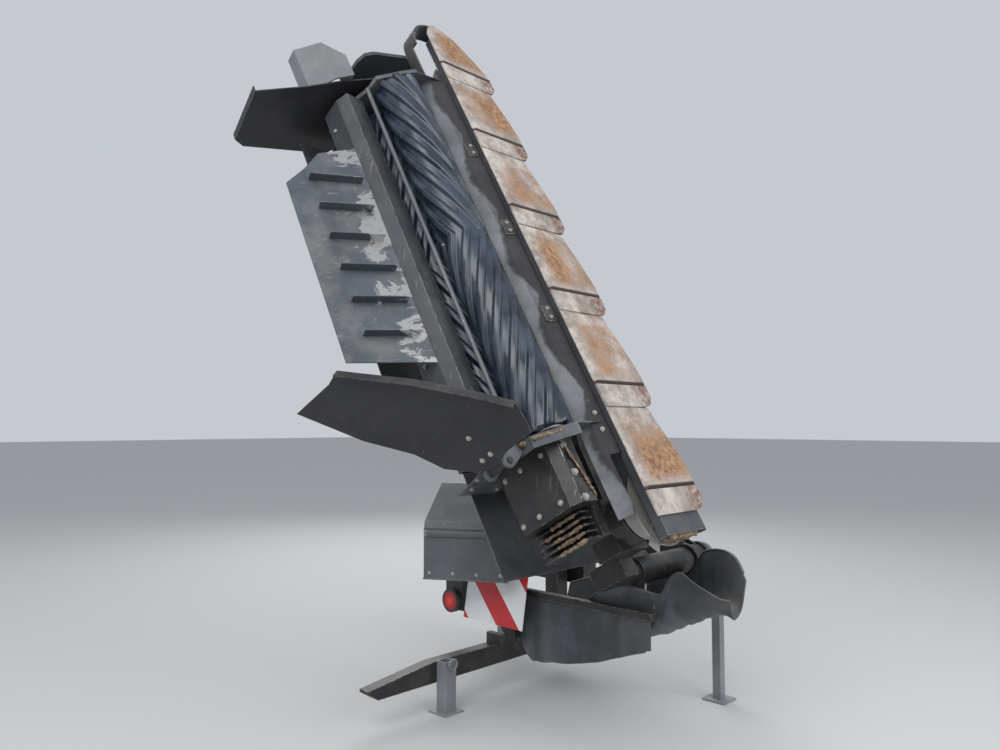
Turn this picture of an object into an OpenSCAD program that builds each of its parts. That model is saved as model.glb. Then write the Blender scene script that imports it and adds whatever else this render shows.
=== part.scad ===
// Three-point disc mower with a roller conditioner, folded up and standing on its parking legs.
// +X is the side that the mower works on, +Y the direction of travel and +Z up, in millimetres.
// The mower's own pieces are drawn in its working frame: X along the cutter bar from its inner to its
// outer end, Y forward from the bar's rear edge and Z up from the soles of the shoes.

/* [Stance] */
// Angle by which the mower is folded up from its working position, in degrees
fold_angle = 120; // [110:1:122]
// Height of the fold hinge above the feet of the legs
pivot_z = 650; // [630:5:680]
// Place of the fold hinge to the right of the part's middle
pivot_x = 569; // [560:1:590]
// Place of the cutter bar's rear edge along the direction of travel
bar_y = -150; // [-170:5:-140]

/* [Headstock] */
// Place of the headstock's middle, to the left of the part's middle
headstock_x = -540; // [-560:1:-530]
// Place of the lower hitch pins along the direction of travel
hitch_y = 932.5; // [920:0.5:950]
// Height of the lower hitch pins above the feet
hitch_z = 480; // [460:5:500]
// Distance between the middles of the two lower hitch pins
hitch_span = 825; // [780:1:870]
// Diameter of the lower hitch pins
hitch_pin_d = 28; // [22:1:36]
// Free length of each lower hitch pin outside its ears
hitch_pin_len = 90; // [70:2:110]
// Clear width between the two ears that carry a lower hitch pin
ear_gap = 40; // [30:1:50]
// Thickness of the hitch ears and of the mast's plates
ear_t = 16; // [10:1:20]
// Height of the upper link's bore above the lower hitch pins
mast_h = 610; // [560:5:650]
// Diameter of the upper link's bore
top_bore_d = 25.5; // [19:0.5:32]
// Clear width between the mast's two plates
mast_gap = 56; // [50:1:70]
// Side of the square cross tube that carries the hitch ears
cross_tube = 100; // [80:5:110]
// Length of the cross tube
cross_len = 900; // [880:5:940]

/* [Main beam] */
// Height and depth of the square main beam
beam_side = 120; // [110:5:130]
// Wall of the main beam
beam_wall = 10; // [5:1:12]
// Place of the main beam's middle along the direction of travel
beam_y = 720; // [718:1:730]
// Diameter of the pin that the mower folds about
fold_pin_d = 50; // [40:1:60]
// Thickness of the main beam's two hinge lugs
lug_t = 20; // [15:1:25]

/* [Legs] */
// Side of the square tubes of the two front legs
leg_side = 40; // [35:1:45]
// Width of the rear leg
rear_leg_w = 60; // [50:1:70]
// Side of the square foot plates
foot_side = 110; // [90:5:130]
// Thickness of the foot plates
foot_t = 8; // [5:1:12]
// Height of the stand arm's tube
arm_h = 90; // [80:5:100]
// Width of the stand arm's tube
arm_w = 60; // [50:5:70]
// Height of the stand arm's top face above the feet
arm_top = 215; // [205:5:225]

/* [Cutter bar] */
// Distance between neighbouring discs
disc_pitch = 430; // [420:5:440]
// Radius that a blade's tip reaches
blade_reach = 236; // [225:1:240]
// Distance of the discs' axes in front of the bar's rear edge
disc_v = 180; // [170:5:190]
// Height of the discs' plates above the soles
disc_w = 96; // [92:1:104]
// Diameter of the discs' spindles
spindle_d = 40; // [30:1:50]
// Width of the shoes, from the rear edge to the front of their bulge
shoe_front = 325; // [310:1:335]
// Depth of the notch between two shoes
notch_depth = 78; // [60:1:90]

/* [Conditioner] */
// Length of the two rubber rollers
roller_len = 1740; // [1650:5:1750]
// Outer radius of the rollers, over their ribs
roller_r = 100; // [90:1:102]
// Height of the ribs of the rollers
rib_h = 16; // [8:1:20]
// Number of ribs round a roller
rib_count = 8; // [6:1:10]
// Turn of the ribs from the middle to each end of a roller, in degrees
rib_twist = 235; // [120:5:260]
// Gap between the two rollers
roller_gap = 8; // [6:1:14]
// Diameter of the rollers' journals
journal_d = 40; // [30:1:50]

/* [Hoods] */
// Thickness of the sheet metal
sheet_t = 5; // [3:0.5:6]
// Height of the top hood above the soles
hood_w = 606; // [600:2:620]
// Length of the spreading plate behind the rollers, along its slope
spread_len = 336; // [320:2:350]
// Slope of the spreading plate, in degrees
spread_slope = 18; // [14:1:22]
// Height of the spreading plate's vanes
vane_h = 38; // [25:1:45]

/* [Swath boards] */
// Thickness of the swath boards
board_t = 6; // [4:1:10]
// Width of the flange along the lower edge of a swath board
board_flange = 30; // [20:1:36]

/* [Lights] */
// Side of the square striped board
marker_side = 380; // [360:5:400]
// Diameter of the tail lamp
lamp_d = 110; // [90:5:120]

/* [Hidden] */

$fn = 48;
// Overshoot of a cut past the faces that it opens
cut = 1;
// Gap between neighbouring pieces that are bolted or welded together
seat_gap = 0.3;
// Radial clearance of a running fit
run_fit = 0.05;
disc_count = 6;

// Place of the fold hinge in the mower's working frame
pivot_u = -150;
pivot_w = 500;
// Free length between a roller's end and its side plate
roller_end_gap = 12;
// Inner faces of the two side plates' sheets, along the bar
plate_in_u = 290;
plate_out_u = plate_in_u + sheet_t + roller_len + 2 * roller_end_gap;

// Colours
grey_paint = [0.33, 0.35, 0.37];
dark_paint = [0.10, 0.10, 0.11];
light_grey = [0.55, 0.57, 0.60];
worn_white = [0.80, 0.76, 0.72];
rubber_blue = [0.13, 0.16, 0.20];
canvas_grey = [0.17, 0.18, 0.19];
steel = [0.62, 0.63, 0.65];

// Puts a piece drawn in the mower's working frame at its folded place
module mower() {
    translate([pivot_x, bar_y, pivot_z])
        rotate([0, -fold_angle, 0])
            translate([-pivot_u, 0, -pivot_w])
                children();
}

// Extrudes an outline given as (forward, up) along the bar from one place to another
module along_bar(from_u, to_u) {
    translate([from_u, 0, 0])
        rotate([90, 0, 90])
            linear_extrude(to_u - from_u)
                children();
}

// Extrudes an outline given as (along, up) forward from one place to another
module forward(from_v, to_v) {
    translate([0, to_v, 0])
        rotate([90, 0, 0])
            linear_extrude(to_v - from_v)
                children();
}

// Box from one corner to the opposite one
module block(low, high) {
    translate(low)
        cube(high - low);
}

// Round bar along X or Y, from a point and over a length
module rod_x(at, r, len) {
    translate(at)
        rotate([0, 90, 0])
            cylinder(r = r, h = len);
}
module rod_y(at, r, len) {
    translate(at)
        rotate([-90, 0, 0])
            cylinder(r = r, h = len);
}

// Square tube along X, closed by a plate at each end
module tube_x(at, len, side, wall) {
    translate(at)
        difference() {
            translate([0, -side / 2, -side / 2])
                cube([len, side, side]);
            translate([wall, -side / 2 + wall, -side / 2 + wall])
                cube([len - 2 * wall, side - 2 * wall, side - 2 * wall]);
        }
}

// Headstock

beam_front = beam_y + beam_side / 2;
cross_y = beam_front + cross_tube / 2;
mast_z = hitch_z + mast_h;
mast_y = hitch_y - 45;
// Place of the outer ear's outer face, beside the free stretch of the pin
ear_out = hitch_span / 2 - hitch_pin_len / 2;
// Half of the clear width between the mast's two uprights, which the drive shaft passes through
upright_gap = 130;
upright_t = 30;
upright_top = mast_z - 150;

// Inner end of each hitch pin, inside its second ear
pin_in = ear_out - ear_gap - 2 * ear_t - 12;

module hitch_bar() {
    color(dark_paint)
        translate([headstock_x, 0, 0]) {
            // Cross tube
            tube_x([-cross_len / 2, cross_y, hitch_z], cross_len, cross_tube, beam_wall);
            // Two ears at each lower hitch point, with the pin through both
            for (side = [-1, 1]) {
                for (out = [ear_out, ear_out - ear_gap - ear_t])
                    translate([side > 0 ? out - ear_t : -out, 0, 0])
                        rotate([90, 0, 90])
                            linear_extrude(ear_t)
                                polygon([
                                    [cross_y + cross_tube / 2, hitch_z - cross_tube / 2],
                                    [hitch_y + 10, hitch_z - 38],
                                    [hitch_y + 38, hitch_z - 10],
                                    [hitch_y + 38, hitch_z + 10],
                                    [hitch_y + 10, hitch_z + 38],
                                    [cross_y + cross_tube / 2, hitch_z + cross_tube / 2]]);
                pin_len = hitch_span / 2 + hitch_pin_len / 2 - pin_in;
                rod_x([side > 0 ? pin_in : -pin_in - pin_len, hitch_y, hitch_z], hitch_pin_d / 2, pin_len);
            }
        }
}

// Mast on the cross tube

module mast_frame() {
    color(dark_paint)
        translate([headstock_x, 0, 0]) {
            // Two uprights with a plate across their tops
            for (left = [-upright_gap - upright_t, upright_gap])
                block([left, beam_front + seat_gap, hitch_z + cross_tube / 2 + seat_gap],
                    [left + upright_t, beam_front + cross_tube, upright_top]);
            block([-upright_gap - upright_t, beam_front + seat_gap, upright_top - cut],
                [upright_gap + upright_t, beam_front + cross_tube, upright_top + ear_t]);
            // Mast's two plates with the upper link's bore
            difference() {
                for (side = [-1, 1])
                    translate([side * (mast_gap + ear_t) / 2 - ear_t / 2, 0, 0])
                        rotate([90, 0, 90])
                            linear_extrude(ear_t)
                                polygon([
                                    [beam_front + seat_gap, upright_top],
                                    [beam_front + cross_tube, upright_top],
                                    [mast_y + 40, mast_z - 25],
                                    [mast_y + 40, mast_z + 25],
                                    [mast_y + 15, mast_z + 42],
                                    [mast_y - 30, mast_z + 42],
                                    [beam_front + seat_gap, mast_z - 40]]);
                rod_x([-mast_gap / 2 - ear_t - cut, mast_y, mast_z], top_bore_d / 2,
                    mast_gap + 2 * ear_t + 2 * cut);
            }
            // Spacer between the mast's plates
            rod_x([-mast_gap / 2, beam_front + 40, mast_z - 90], 18, mast_gap);
        }
}

// Main beam with the two lugs of the fold hinge

beam_left = headstock_x - 150;
lug_r = 70;
// Free length of the lugs past the beam's end, where the lever turns between them
lug_reach = 190;
beam_right = pivot_x - lug_reach;
leg_arm_top = pivot_z - lug_r - 5;
// Reach of the cylinder's bracket to the left of its pin, along the beam
bracket_reach = 60;

module main_beam() {
    color(dark_paint)
        difference() {
            union() {
                tube_x([beam_left, beam_y, pivot_z], beam_right - beam_left, beam_side, beam_wall);
                // Hinge lugs on the beam's two sides
                for (at = [beam_y - beam_side / 2, beam_front - lug_t])
                    forward(at, at + lug_t)
                        union() {
                            translate([pivot_x, pivot_z])
                                circle(r = lug_r);
                            translate([beam_right - 90, pivot_z - beam_side / 2])
                                square([pivot_x - beam_right + 90, beam_side]);
                        }
                // Hanger and arm of the right leg, under the beam
                block([beam_right - 80, beam_y - 40, leg_arm_top - 45],
                    [beam_right - 20, beam_front, pivot_z - beam_side / 2]);
                block([beam_right - 80, beam_y + 20, leg_arm_top - 45],
                    [leg_right_x + 30, leg_arm_front, leg_arm_top]);
                // Bracket of the cylinder's eye
                for (at = [beam_y - beam_side / 2, beam_front - 15])
                    forward(at, at + 15)
                        polygon([
                            [cyl_root_x - bracket_reach, pivot_z + beam_side / 2],
                            [cyl_root_x + 120, pivot_z + beam_side / 2],
                            [cyl_root_x + 35, cyl_root_z + 30],
                            [cyl_root_x - 35, cyl_root_z + 30]]);
            }
            rod_y([pivot_x, beam_y - beam_side / 2 - cut, pivot_z], fold_pin_d / 2 + run_fit,
                beam_side + 2 * cut);
            rod_y([cyl_root_x, beam_y - beam_side / 2 - cut, cyl_root_z], cyl_pin_r + run_fit,
                beam_side + 2 * cut);
        }
}

// Input gearbox on the beam with the shaft stub that faces forward

stub_r = 17.45;
box_z = pivot_z + beam_side / 2 + 110;

module gearbox_input() {
    color(grey_paint)
        translate([headstock_x, 0, 0]) {
            block([-95, beam_y - 70, pivot_z + beam_side / 2 + seat_gap],
                [cyl_root_x - bracket_reach - headstock_x - seat_gap, beam_front - seat_gap, box_z + 90]);
            translate([0, beam_y - 70, box_z])
                rotate([90, 0, 0])
                    cylinder(r = 70, h = 35);
        }
    color(steel)
        rod_y([headstock_x, beam_front - seat_gap - cut, box_z], stub_r, hitch_y - beam_front + 20);
}

// Round housing on the beam's hinge lug, at the end of the drive

module pivot_gearbox() {
    color(grey_paint)
        translate([pivot_x, beam_front + seat_gap, pivot_z])
            rotate([-90, 0, 0])
                rotate_extrude()
                    polygon([[fold_pin_d / 2 + 3, 0], [62, 0], [62, 40], [50, 62], [22, 70], [0, 70],
                        [0, 62],
                        [fold_pin_d / 2 + 3, 52]]);
}

// Parking stand

cover_x = -178;
cover_y = 43;
cover_low = 550;
cover_top = 965;
cover_turn = 31;
cover_w = 387;
cover_d = 100;
// Reach of the cover's slanted top behind its middle
cover_back = 235;
post_x = -95;
post_y = 255;
post_top = 840;
marker_x = -140;
lamp_x = -405;
lamp_z = 402;
// Height of the post's cross bar
bar_z = 470;
curtain_right = 660;
rear_leg_y = -95;
leg_pin_r = 7;
pin_ring_r = 22;
arm_x = -225;
arm_tip_y = -490;
leg_right_x = 610;
leg_arm_front = beam_front + 75;
leg_right_y = leg_arm_front + leg_side / 2 + seat_gap;
leg_left_x = headstock_x - pin_in + leg_side / 2 + 10;
leg_left_y = cross_y + cross_tube / 2 + leg_side / 2 + seat_gap;

module stand_arm() {
    color(dark_paint) {
        difference() {
            translate([arm_x - arm_w / 2, 0, 0])
                rotate([90, 0, 90])
                    linear_extrude(arm_w)
                        polygon([[arm_tip_y + 50, arm_top - arm_h], [beam_front, arm_top - arm_h],
                            [beam_front, arm_top], [arm_tip_y + 340, arm_top],
                            [arm_tip_y, arm_top - arm_h / 2], [arm_tip_y, arm_top - arm_h / 2 - 12]]);
            translate([arm_x - arm_w / 2 + 5, arm_tip_y + 345, arm_top - arm_h + 5])
                cube([arm_w - 10, beam_front - arm_tip_y - 350, arm_h - 10]);
            rod_x([arm_x - arm_w / 2 - cut, rear_leg_y, arm_top - 30], leg_pin_r + run_fit,
                arm_w + 2 * cut);
        }
        // Post from the arm up to the main beam
        block([arm_x - 40, beam_y - 40, arm_top],
            [arm_x + 40, beam_y + 40, pivot_z - beam_side / 2 - seat_gap]);
        // Post that carries the cover, the lights and the curtain
        block([post_x - 25, post_y - 15, arm_top], [post_x + 25, post_y + 15, post_top]);
        block([arm_x - arm_w / 2, post_y - 15, arm_top], [post_x + 25, post_y + 15, arm_top + 50]);
        // Bar on the post for the board, the lamp and the curtain
        block([lamp_x - 60, post_y - 15, bar_z], [curtain_right + 12, post_y + 15, bar_z + 30]);
        // Bracket from the post's top to the cover's open back
        translate([cover_x, cover_y, 0])
            rotate([0, 0, cover_turn])
                block([cover_w / 2 - 44, cover_d / 2 + seat_gap, 715],
                    [cover_w / 2 - 4, cover_d / 2 + 70, 745]);
    }
}

// Leg of square tube with its foot plate
module leg(x, y, top, side) {
    translate([x, y, 0]) {
        difference() {
            translate([-side / 2, -side / 2, foot_t])
                cube([side, side, top - foot_t]);
            translate([-side / 2 + 4, -side / 2 + 4, foot_t + cut])
                cube([side - 8, side - 8, top]);
        }
        translate([-foot_side / 2, -foot_side / 2, 0])
            cube([foot_side, foot_side, foot_t]);
    }
}

rear_leg_x = arm_x + arm_w / 2 + rear_leg_w / 2 + seat_gap;

module leg_rear() {
    color(light_grey) {
        leg(rear_leg_x, rear_leg_y, arm_top + 5, rear_leg_w);
        // Spring pin through the leg and the arm, with its bent handle
        rod_x([arm_x - arm_w / 2 - 12, rear_leg_y, arm_top - 30], leg_pin_r, arm_w + rear_leg_w + 30);
        translate([rear_leg_x + rear_leg_w / 2 + 14, rear_leg_y, arm_top - 30 + pin_ring_r + 4])
            rotate([0, 90, 0])
                rotate_extrude()
                    translate([pin_ring_r, 0])
                        circle(r = 4, $fn = 16);
    }
}

module leg_right() {
    color(light_grey)
        leg(leg_right_x, leg_right_y, pivot_z - 50, leg_side);
}

module leg_left() {
    color(light_grey)
        leg(leg_left_x, leg_left_y, hitch_z + 90, leg_side);
}

// Cover over the drive and the lights, on the post of the stand

module cover_shape(grow) {
    // Side profile: upright lower part, a band at mid height and a slanted upper part
    translate([-cover_w / 2 - grow, 0, 0])
        rotate([90, 0, 90])
            linear_extrude(cover_w + 2 * grow)
                polygon([
                    [-cover_d / 2 - grow, cover_low],
                    [-cover_d / 2 - grow, cover_low + 232],
                    [-cover_d / 2 + 14 - grow, cover_low + 262 + grow / 2],
                    [cover_back - 20, cover_top + grow],
                    [cover_back + grow, cover_top + grow],
                    [cover_back + grow, cover_top - 30 - grow],
                    [cover_d / 2 + grow, cover_low + 250 - grow],
                    [cover_d / 2 + grow, cover_low]]);
}

module drive_cover() {
    color(grey_paint)
        translate([cover_x, cover_y, 0])
            rotate([0, 0, cover_turn])
                difference() {
                    cover_shape(0);
                    translate([0, 0, -cut])
                        cover_shape(-sheet_t);
                    translate([-cover_w / 2 + 20, cover_d / 2 - 20, cover_low - cut])
                        cube([cover_w - 40, 40, 225]);
                }
}

marker_low = 335;
marker_y = 160;
marker_lean = 10;

module warning_board() {
    color("white")
        translate([marker_x - marker_side / 2, marker_y, marker_low])
            rotate([-marker_lean, 0, 0])
                cube([marker_side, 2, marker_side]);
    color(dark_paint)
        block([marker_x - 60, marker_y + 30, bar_z + 5],
            [marker_x + 60, post_y - 15 - seat_gap, bar_z + 30]);
}

module tail_lamp() {
    color("darkred")
        rod_y([lamp_x, marker_y - 20, lamp_z], lamp_d / 2, 30);
    color(dark_paint)
        block([lamp_x - 60, marker_y + 10 - cut, lamp_z - 45],
            [lamp_x + 60, post_y - 15 - seat_gap, bar_z + 28]);
}

// Curtain of rubberised canvas under the board, in the plane of the post's bar

curtain_t = 6;
curtain_y = post_y + 15 + seat_gap;

module stand_curtain() {
    color(canvas_grey)
        forward(curtain_y, curtain_y + curtain_t)
            polygon([
                [-250, 498], [640, 498], [655, 420], [660, 350], [520, 300], [360, 240], [180, 200],
                    [40, 180],
                [-20, 178], [-30, 262], [-160, 262], [-230, 330]]);
}

// Fold cylinder, drawn along its own line from its eye on the beam to its eye on the mower's lever

cyl_root_x = -381;
cyl_root_z = 950;
cyl_lever_u = 70;
cyl_lever_w = 620;
cyl_pin_r = 15;
cyl_barrel_r = 38;
cyl_rod_r = 20;
lever_du = cyl_lever_u - pivot_u;
lever_dw = cyl_lever_w - pivot_w;
cyl_end_x = pivot_x + lever_du * cos(fold_angle) - lever_dw * sin(fold_angle);
cyl_end_z = pivot_z + lever_du * sin(fold_angle) + lever_dw * cos(fold_angle);
cyl_len = norm([cyl_end_x - cyl_root_x, cyl_end_z - cyl_root_z]);
cyl_angle = atan2(cyl_end_z - cyl_root_z, cyl_end_x - cyl_root_x);
barrel_len = cyl_len - 110;
eye_t = 80;

// Puts a piece drawn along X at the cylinder's line
module cylinder_line() {
    translate([cyl_root_x, beam_y, cyl_root_z])
        rotate([0, -cyl_angle, 0])
            children();
}

module cylinder_barrel() {
    color(dark_paint)
        cylinder_line()
            difference() {
                union() {
                    rod_x([30, 0, 0], cyl_barrel_r, barrel_len - 30);
                    translate([0, -eye_t / 2, 0])
                        rotate([-90, 0, 0])
                            cylinder(r = 32, h = eye_t);
                    // Pin through the bracket's two plates, flush with the front one
                    rod_y([0, -beam_side / 2 - 3, 0], cyl_pin_r, beam_side + 3);
                }
                rod_x([70, 0, 0], cyl_rod_r + 9, barrel_len - 70 - 30);
                rod_x([barrel_len - 60, 0, 0], cyl_rod_r + run_fit, 80);
            }
}

module cylinder_rod() {
    color(steel)
        cylinder_line() {
            rod_x([140, 0, 0], cyl_rod_r, cyl_len - 140 - 20);
            // Eye with the middle stretch of its pin
            rod_y([cyl_len, -lever_gap / 2 + 2, 0], 32, lever_gap - 4);
        }
}

// Fold hinge: the pin, the lever between the beam's lugs and the sleeve behind them, all turning together

frame_side = 110;
frame_v = 482;
hood_t = 3;
frame_w = hood_w - hood_t - seat_gap - frame_side / 2;
head_u = pivot_u + 70;
lever_gap = 46;
lever_t = 12;
lug_in = beam_side - 2 * lug_t;
hinge_v0 = 415;
sleeve_r = 55;
hinge_back = beam_y - beam_side / 2 - bar_y - 6;

module fold_hinge() {
    color(dark_paint)
        mower() {
            lever_mid = beam_y - bar_y;
            translate([pivot_u, 0, pivot_w]) {
                // Pin
                rod_y([0, hinge_v0, 0], fold_pin_d / 2, lever_mid + beam_side / 2 - hinge_v0 + 20);
                // Boss between the lugs
                rod_y([0, lever_mid - lug_in / 2 + 1, 0], 60, lug_in - 2);
                // Sleeve behind the lugs
                rod_y([0, hinge_v0, 0], sleeve_r, hinge_back - hinge_v0);
            }
            // Head that the frame beam is bolted to
            block([pivot_u, frame_v - frame_side / 2, pivot_w - 20],
                [head_u, frame_v + frame_side / 2, frame_w + frame_side / 2]);
            // Two lever plates with the cylinder's pin
            for (side = [-1, 1])
                translate([0, lever_mid + side * (lever_gap + lever_t) / 2 + lever_t / 2, 0])
                    rotate([90, 0, 0]) {
                        linear_extrude(lever_t)
                            hull() {
                                translate([pivot_u, pivot_w])
                                    circle(r = 60, $fn = 32);
                                translate([cyl_lever_u, cyl_lever_w])
                                    circle(r = 28, $fn = 32);
                            }
                        // Head of the rod's pin
                        translate([cyl_lever_u, cyl_lever_w, side < 0 ? lever_t - 1 : -3])
                            cylinder(r = cyl_pin_r, h = 4);
                    }
        }
}

// Mower's frame beam along the front of the hood

module frame_beam() {
    color(dark_paint)
        mower() {
            tube_x([head_u + seat_gap, frame_v, frame_w], plate_out_u + 105 - head_u, frame_side, 8);
            // Arms from the beam back to the two side plates
            for (at = [plate_in_u - 30 - seat_gap, plate_out_u + sheet_t + seat_gap])
                block([at, 30, frame_w - 40], [at + 30, frame_v - frame_side / 2, frame_w + 40]);
        }
}

// Side plates that carry the rollers

// Pins of the swath boards, as places along the bar and forward, and the heights of their lugs
inner_hinge = [plate_in_u - 58, -384];
outer_hinge = [plate_out_u + 66, -120];
outer_turn = -2;
// Where the boards' lugs stand on the side plates, forward of their pins
inner_root = [45, 125];
outer_root = [15, 75];
inner_hinge_low = 200;
inner_hinge_high = 300;
outer_hinge_low = 210;
outer_hinge_high = 400;
board_pin_r = 12;
board_lug_r = 24;
board_lug_t = 12;

// Edge of the free space behind the blades' circle
sweep_back = disc_v - blade_reach - 8;
lower_v = -190;
lower_w = 155;
upper_v = -170;
upper_w = lower_w + sqrt(pow(2 * roller_r + roller_gap, 2) - pow(upper_v - lower_v, 2));

module side_outline() {
    top = hood_w - hood_t - seat_gap;
    polygon([
        [bar_rear - seat_gap, 42], [-150, 46], [-200, 76], [-300, 150], [-303, 220], [-337, 320],
            [-318, 400],
        [-300, 450], [-280, 520], [-270, top], [90, top], [90, frame_w - 50], [20, 430], [20, 200],
        [sweep_back, 135], [sweep_back, 76], [bar_rear - seat_gap, 76]]);
}

module side_plate(at_u, flange_dir, flange_len, hinge_at, root, hinge_low, hinge_high) {
    mower()
        difference() {
            union() {
                along_bar(at_u, at_u + sheet_t)
                    side_outline();
                // Flange along the plate's lower and rear edge
                along_bar(flange_dir < 0 ? at_u - flange_len : at_u,
                    flange_dir < 0 ? at_u + sheet_t : at_u + sheet_t + flange_len)
                    polygon([
                        [-150, 46], [-200, 76], [-300, 150], [-303, 220], [-337, 320],
                        [-331, 320], [-297, 221], [-294, 153], [-197, 81], [-151, 52]]);
                // Two lugs for the pin of the swath board
                for (low = [hinge_low, hinge_high])
                    translate([0, 0, low])
                        linear_extrude(board_lug_t)
                            hull() {
                                translate(hinge_at)
                                    circle(r = board_lug_r, $fn = 32);
                                translate([flange_dir < 0 ? at_u : at_u + sheet_t - 1,
                                    hinge_at[1] + root[0]])
                                    square([1, root[1] - root[0]]);
                            }
            }
            for (axis = [[lower_v, lower_w], [upper_v, upper_w]])
                rod_x([at_u - 60, axis[0], axis[1]], journal_d / 2 + run_fit, 120);
            translate([hinge_at[0], hinge_at[1], hinge_low - cut])
                cylinder(r = board_pin_r + run_fit, h = hinge_high + board_lug_t - hinge_low + 2 * cut);
        }
}

module side_plate_inner() {
    color(dark_paint)
        side_plate(plate_in_u, -1, 40, inner_hinge, inner_root, inner_hinge_low, inner_hinge_high);
}

module side_plate_outer() {
    color(dark_paint)
        side_plate(plate_out_u, 1, 15, outer_hinge, outer_root, outer_hinge_low, outer_hinge_high);
}

// Cutter bar

function disc_u(i) = (i - 1) * disc_pitch - 15;
// Rear face and two ends of the bar's housing
bar_rear = 12;
bar_wall = 6;
bar_in = -165;
bar_out = 2330;
seat_low = 16;
seat_top = 84;
spindle_top = 124;

module cutter_bar() {
    color(grey_paint)
        mower() {
            // Housing, hollow between the seats of the discs
            difference() {
                along_bar(bar_in, bar_out)
                    polygon([[bar_rear, shoe_lift], [255, shoe_lift], [285, 30], [285, 50], [255, 66],
                        [30, 66], [bar_rear, 50]]);
                along_bar(bar_in + bar_wall, bar_out - bar_wall)
                    polygon([[bar_rear + bar_wall, seat_low + 4], [252, seat_low + 4], [277, 33], [277, 47],
                        [252, 60],
                        [33, 60], [bar_rear + bar_wall, 46]]);
            }
            for (i = [1 : disc_count]) {
                translate([disc_u(i), disc_v, seat_low])
                    cylinder(r = 62, h = seat_top - seat_low);
                translate([disc_u(i), disc_v, seat_low])
                    cylinder(r = spindle_d / 2, h = spindle_top - seat_low);
            }
        }
}

// Shoes under the bar: a bulging wear shoe and a narrower strip for each disc

strip_len = 95;
shoe_lift = 14;
sole_t = 5;

// Outline of a wear shoe from one seam to the next strip, with its front swelling towards the seam
module shoe_outline(len, inset) {
    polygon([
        [inset, inset],
        [len - inset, inset],
        [len - inset, shoe_front - notch_depth],
        [len * 0.72, shoe_front - 44 - inset],
        [len * 0.42, shoe_front - 18 - inset],
        [len * 0.15, shoe_front - 2 - inset],
        [inset, shoe_front - 4 - inset]]);
}

module skid_shoes() {
    color(worn_white)
        mower() {
            for (i = [0 : disc_count - 2]) {
                // Wear shoe with a raised sole
                translate([i * disc_pitch + seat_gap, 0, 0])
                    difference() {
                        hull() {
                            translate([0, 0, shoe_lift - 4])
                                linear_extrude(4 - seat_gap)
                                    shoe_outline(disc_pitch - strip_len - 2 * seat_gap, 0);
                            linear_extrude(4)
                                shoe_outline(disc_pitch - strip_len - 2 * seat_gap, 14);
                        }
                        translate([0, 0, sole_t])
                            linear_extrude(shoe_lift)
                                shoe_outline(disc_pitch - strip_len - 2 * seat_gap, 26);
                    }
            }
            // Last shoe with its round outer end
            translate([(disc_count - 1) * disc_pitch + seat_gap, 0, 0])
                hull() {
                    translate([0, 0, shoe_lift - 4])
                        linear_extrude(4 - seat_gap)
                            end_outline(0);
                    linear_extrude(4)
                        end_outline(14);
                }
            // Strips between the shoes, with the notch at their front
            for (i = [0 : disc_count - 1])
                translate([i * disc_pitch - strip_len, 0, 4])
                    linear_extrude(shoe_lift - 4 - seat_gap)
                        polygon([
                            [0, 0], [strip_len, 0], [strip_len, shoe_front - 8],
                                [strip_len * 0.45, shoe_front - 12],
                            [strip_len * 0.1, shoe_front - 40], [0, shoe_front - notch_depth]]);
        }
}

module end_outline(inset) {
    polygon([
        [inset, inset], [200, inset], [255 - inset, 25], [290 - inset, 60], [275 - inset, 110],
            [245 - inset, 165],
        [190 - inset, 220 - inset], [115, 268 - inset], [40, shoe_front - 18 - inset],
            [inset, shoe_front - 4 - inset]]);
}

// Plate behind the bar that leads the crop up to the rollers

module crop_plate() {
    color(grey_paint)
        mower()
            union() {
                for (span = [[165, plate_in_u - seat_gap],
                    [plate_in_u + sheet_t + seat_gap, plate_out_u - seat_gap]])
                    along_bar(span[0], span[1])
                        polygon([
                            [bar_rear - seat_gap, 40], [bar_rear - seat_gap, 47], [sweep_back, 66],
                                [-88, 106], [-95, 100],
                            [sweep_back, 58], [0, 40]]);
                // Narrow strip that goes on to the bar's inner end
                along_bar(-60, 165 + cut)
                    polygon([[-45, 54], [-45, 61], [sweep_back, 66], [-88, 106], [-95, 100],
                        [sweep_back, 58]]);
            }
}

// Curved strip round the outer end of the bar

loop_u = bar_out - 95;
loop_v = 95;
loop_r = 205;
loop_t = 8;
loop_h = 80;

module outer_loop() {
    color(dark_paint)
        mower() {
            // Quarter ring round the outer rear corner, standing on the last shoe
            translate([loop_u, loop_v, shoe_lift])
                intersection() {
                    difference() {
                        cylinder(r = loop_r, h = loop_h);
                        translate([0, 0, -cut])
                            cylinder(r = loop_r - loop_t, h = loop_h + 2 * cut);
                    }
                    translate([0, -2 * loop_r, 0])
                        cube([2 * loop_r, 2 * loop_r, loop_h]);
                }
            // Straight stretch from the ring to the outer side plate
            block([plate_out_u + sheet_t + seat_gap, loop_v - loop_r, shoe_lift + 30],
                [loop_u, loop_v - loop_r + loop_t, shoe_lift + loop_h]);
        }
}

// Spreading plate behind the rollers with its vanes

spread_v = -408;
spread_w = 318;
spread_u0 = 700;
spread_u1 = plate_out_u - 289;
// Distance of the vanes from one to the next
vane_step = 150;

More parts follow.
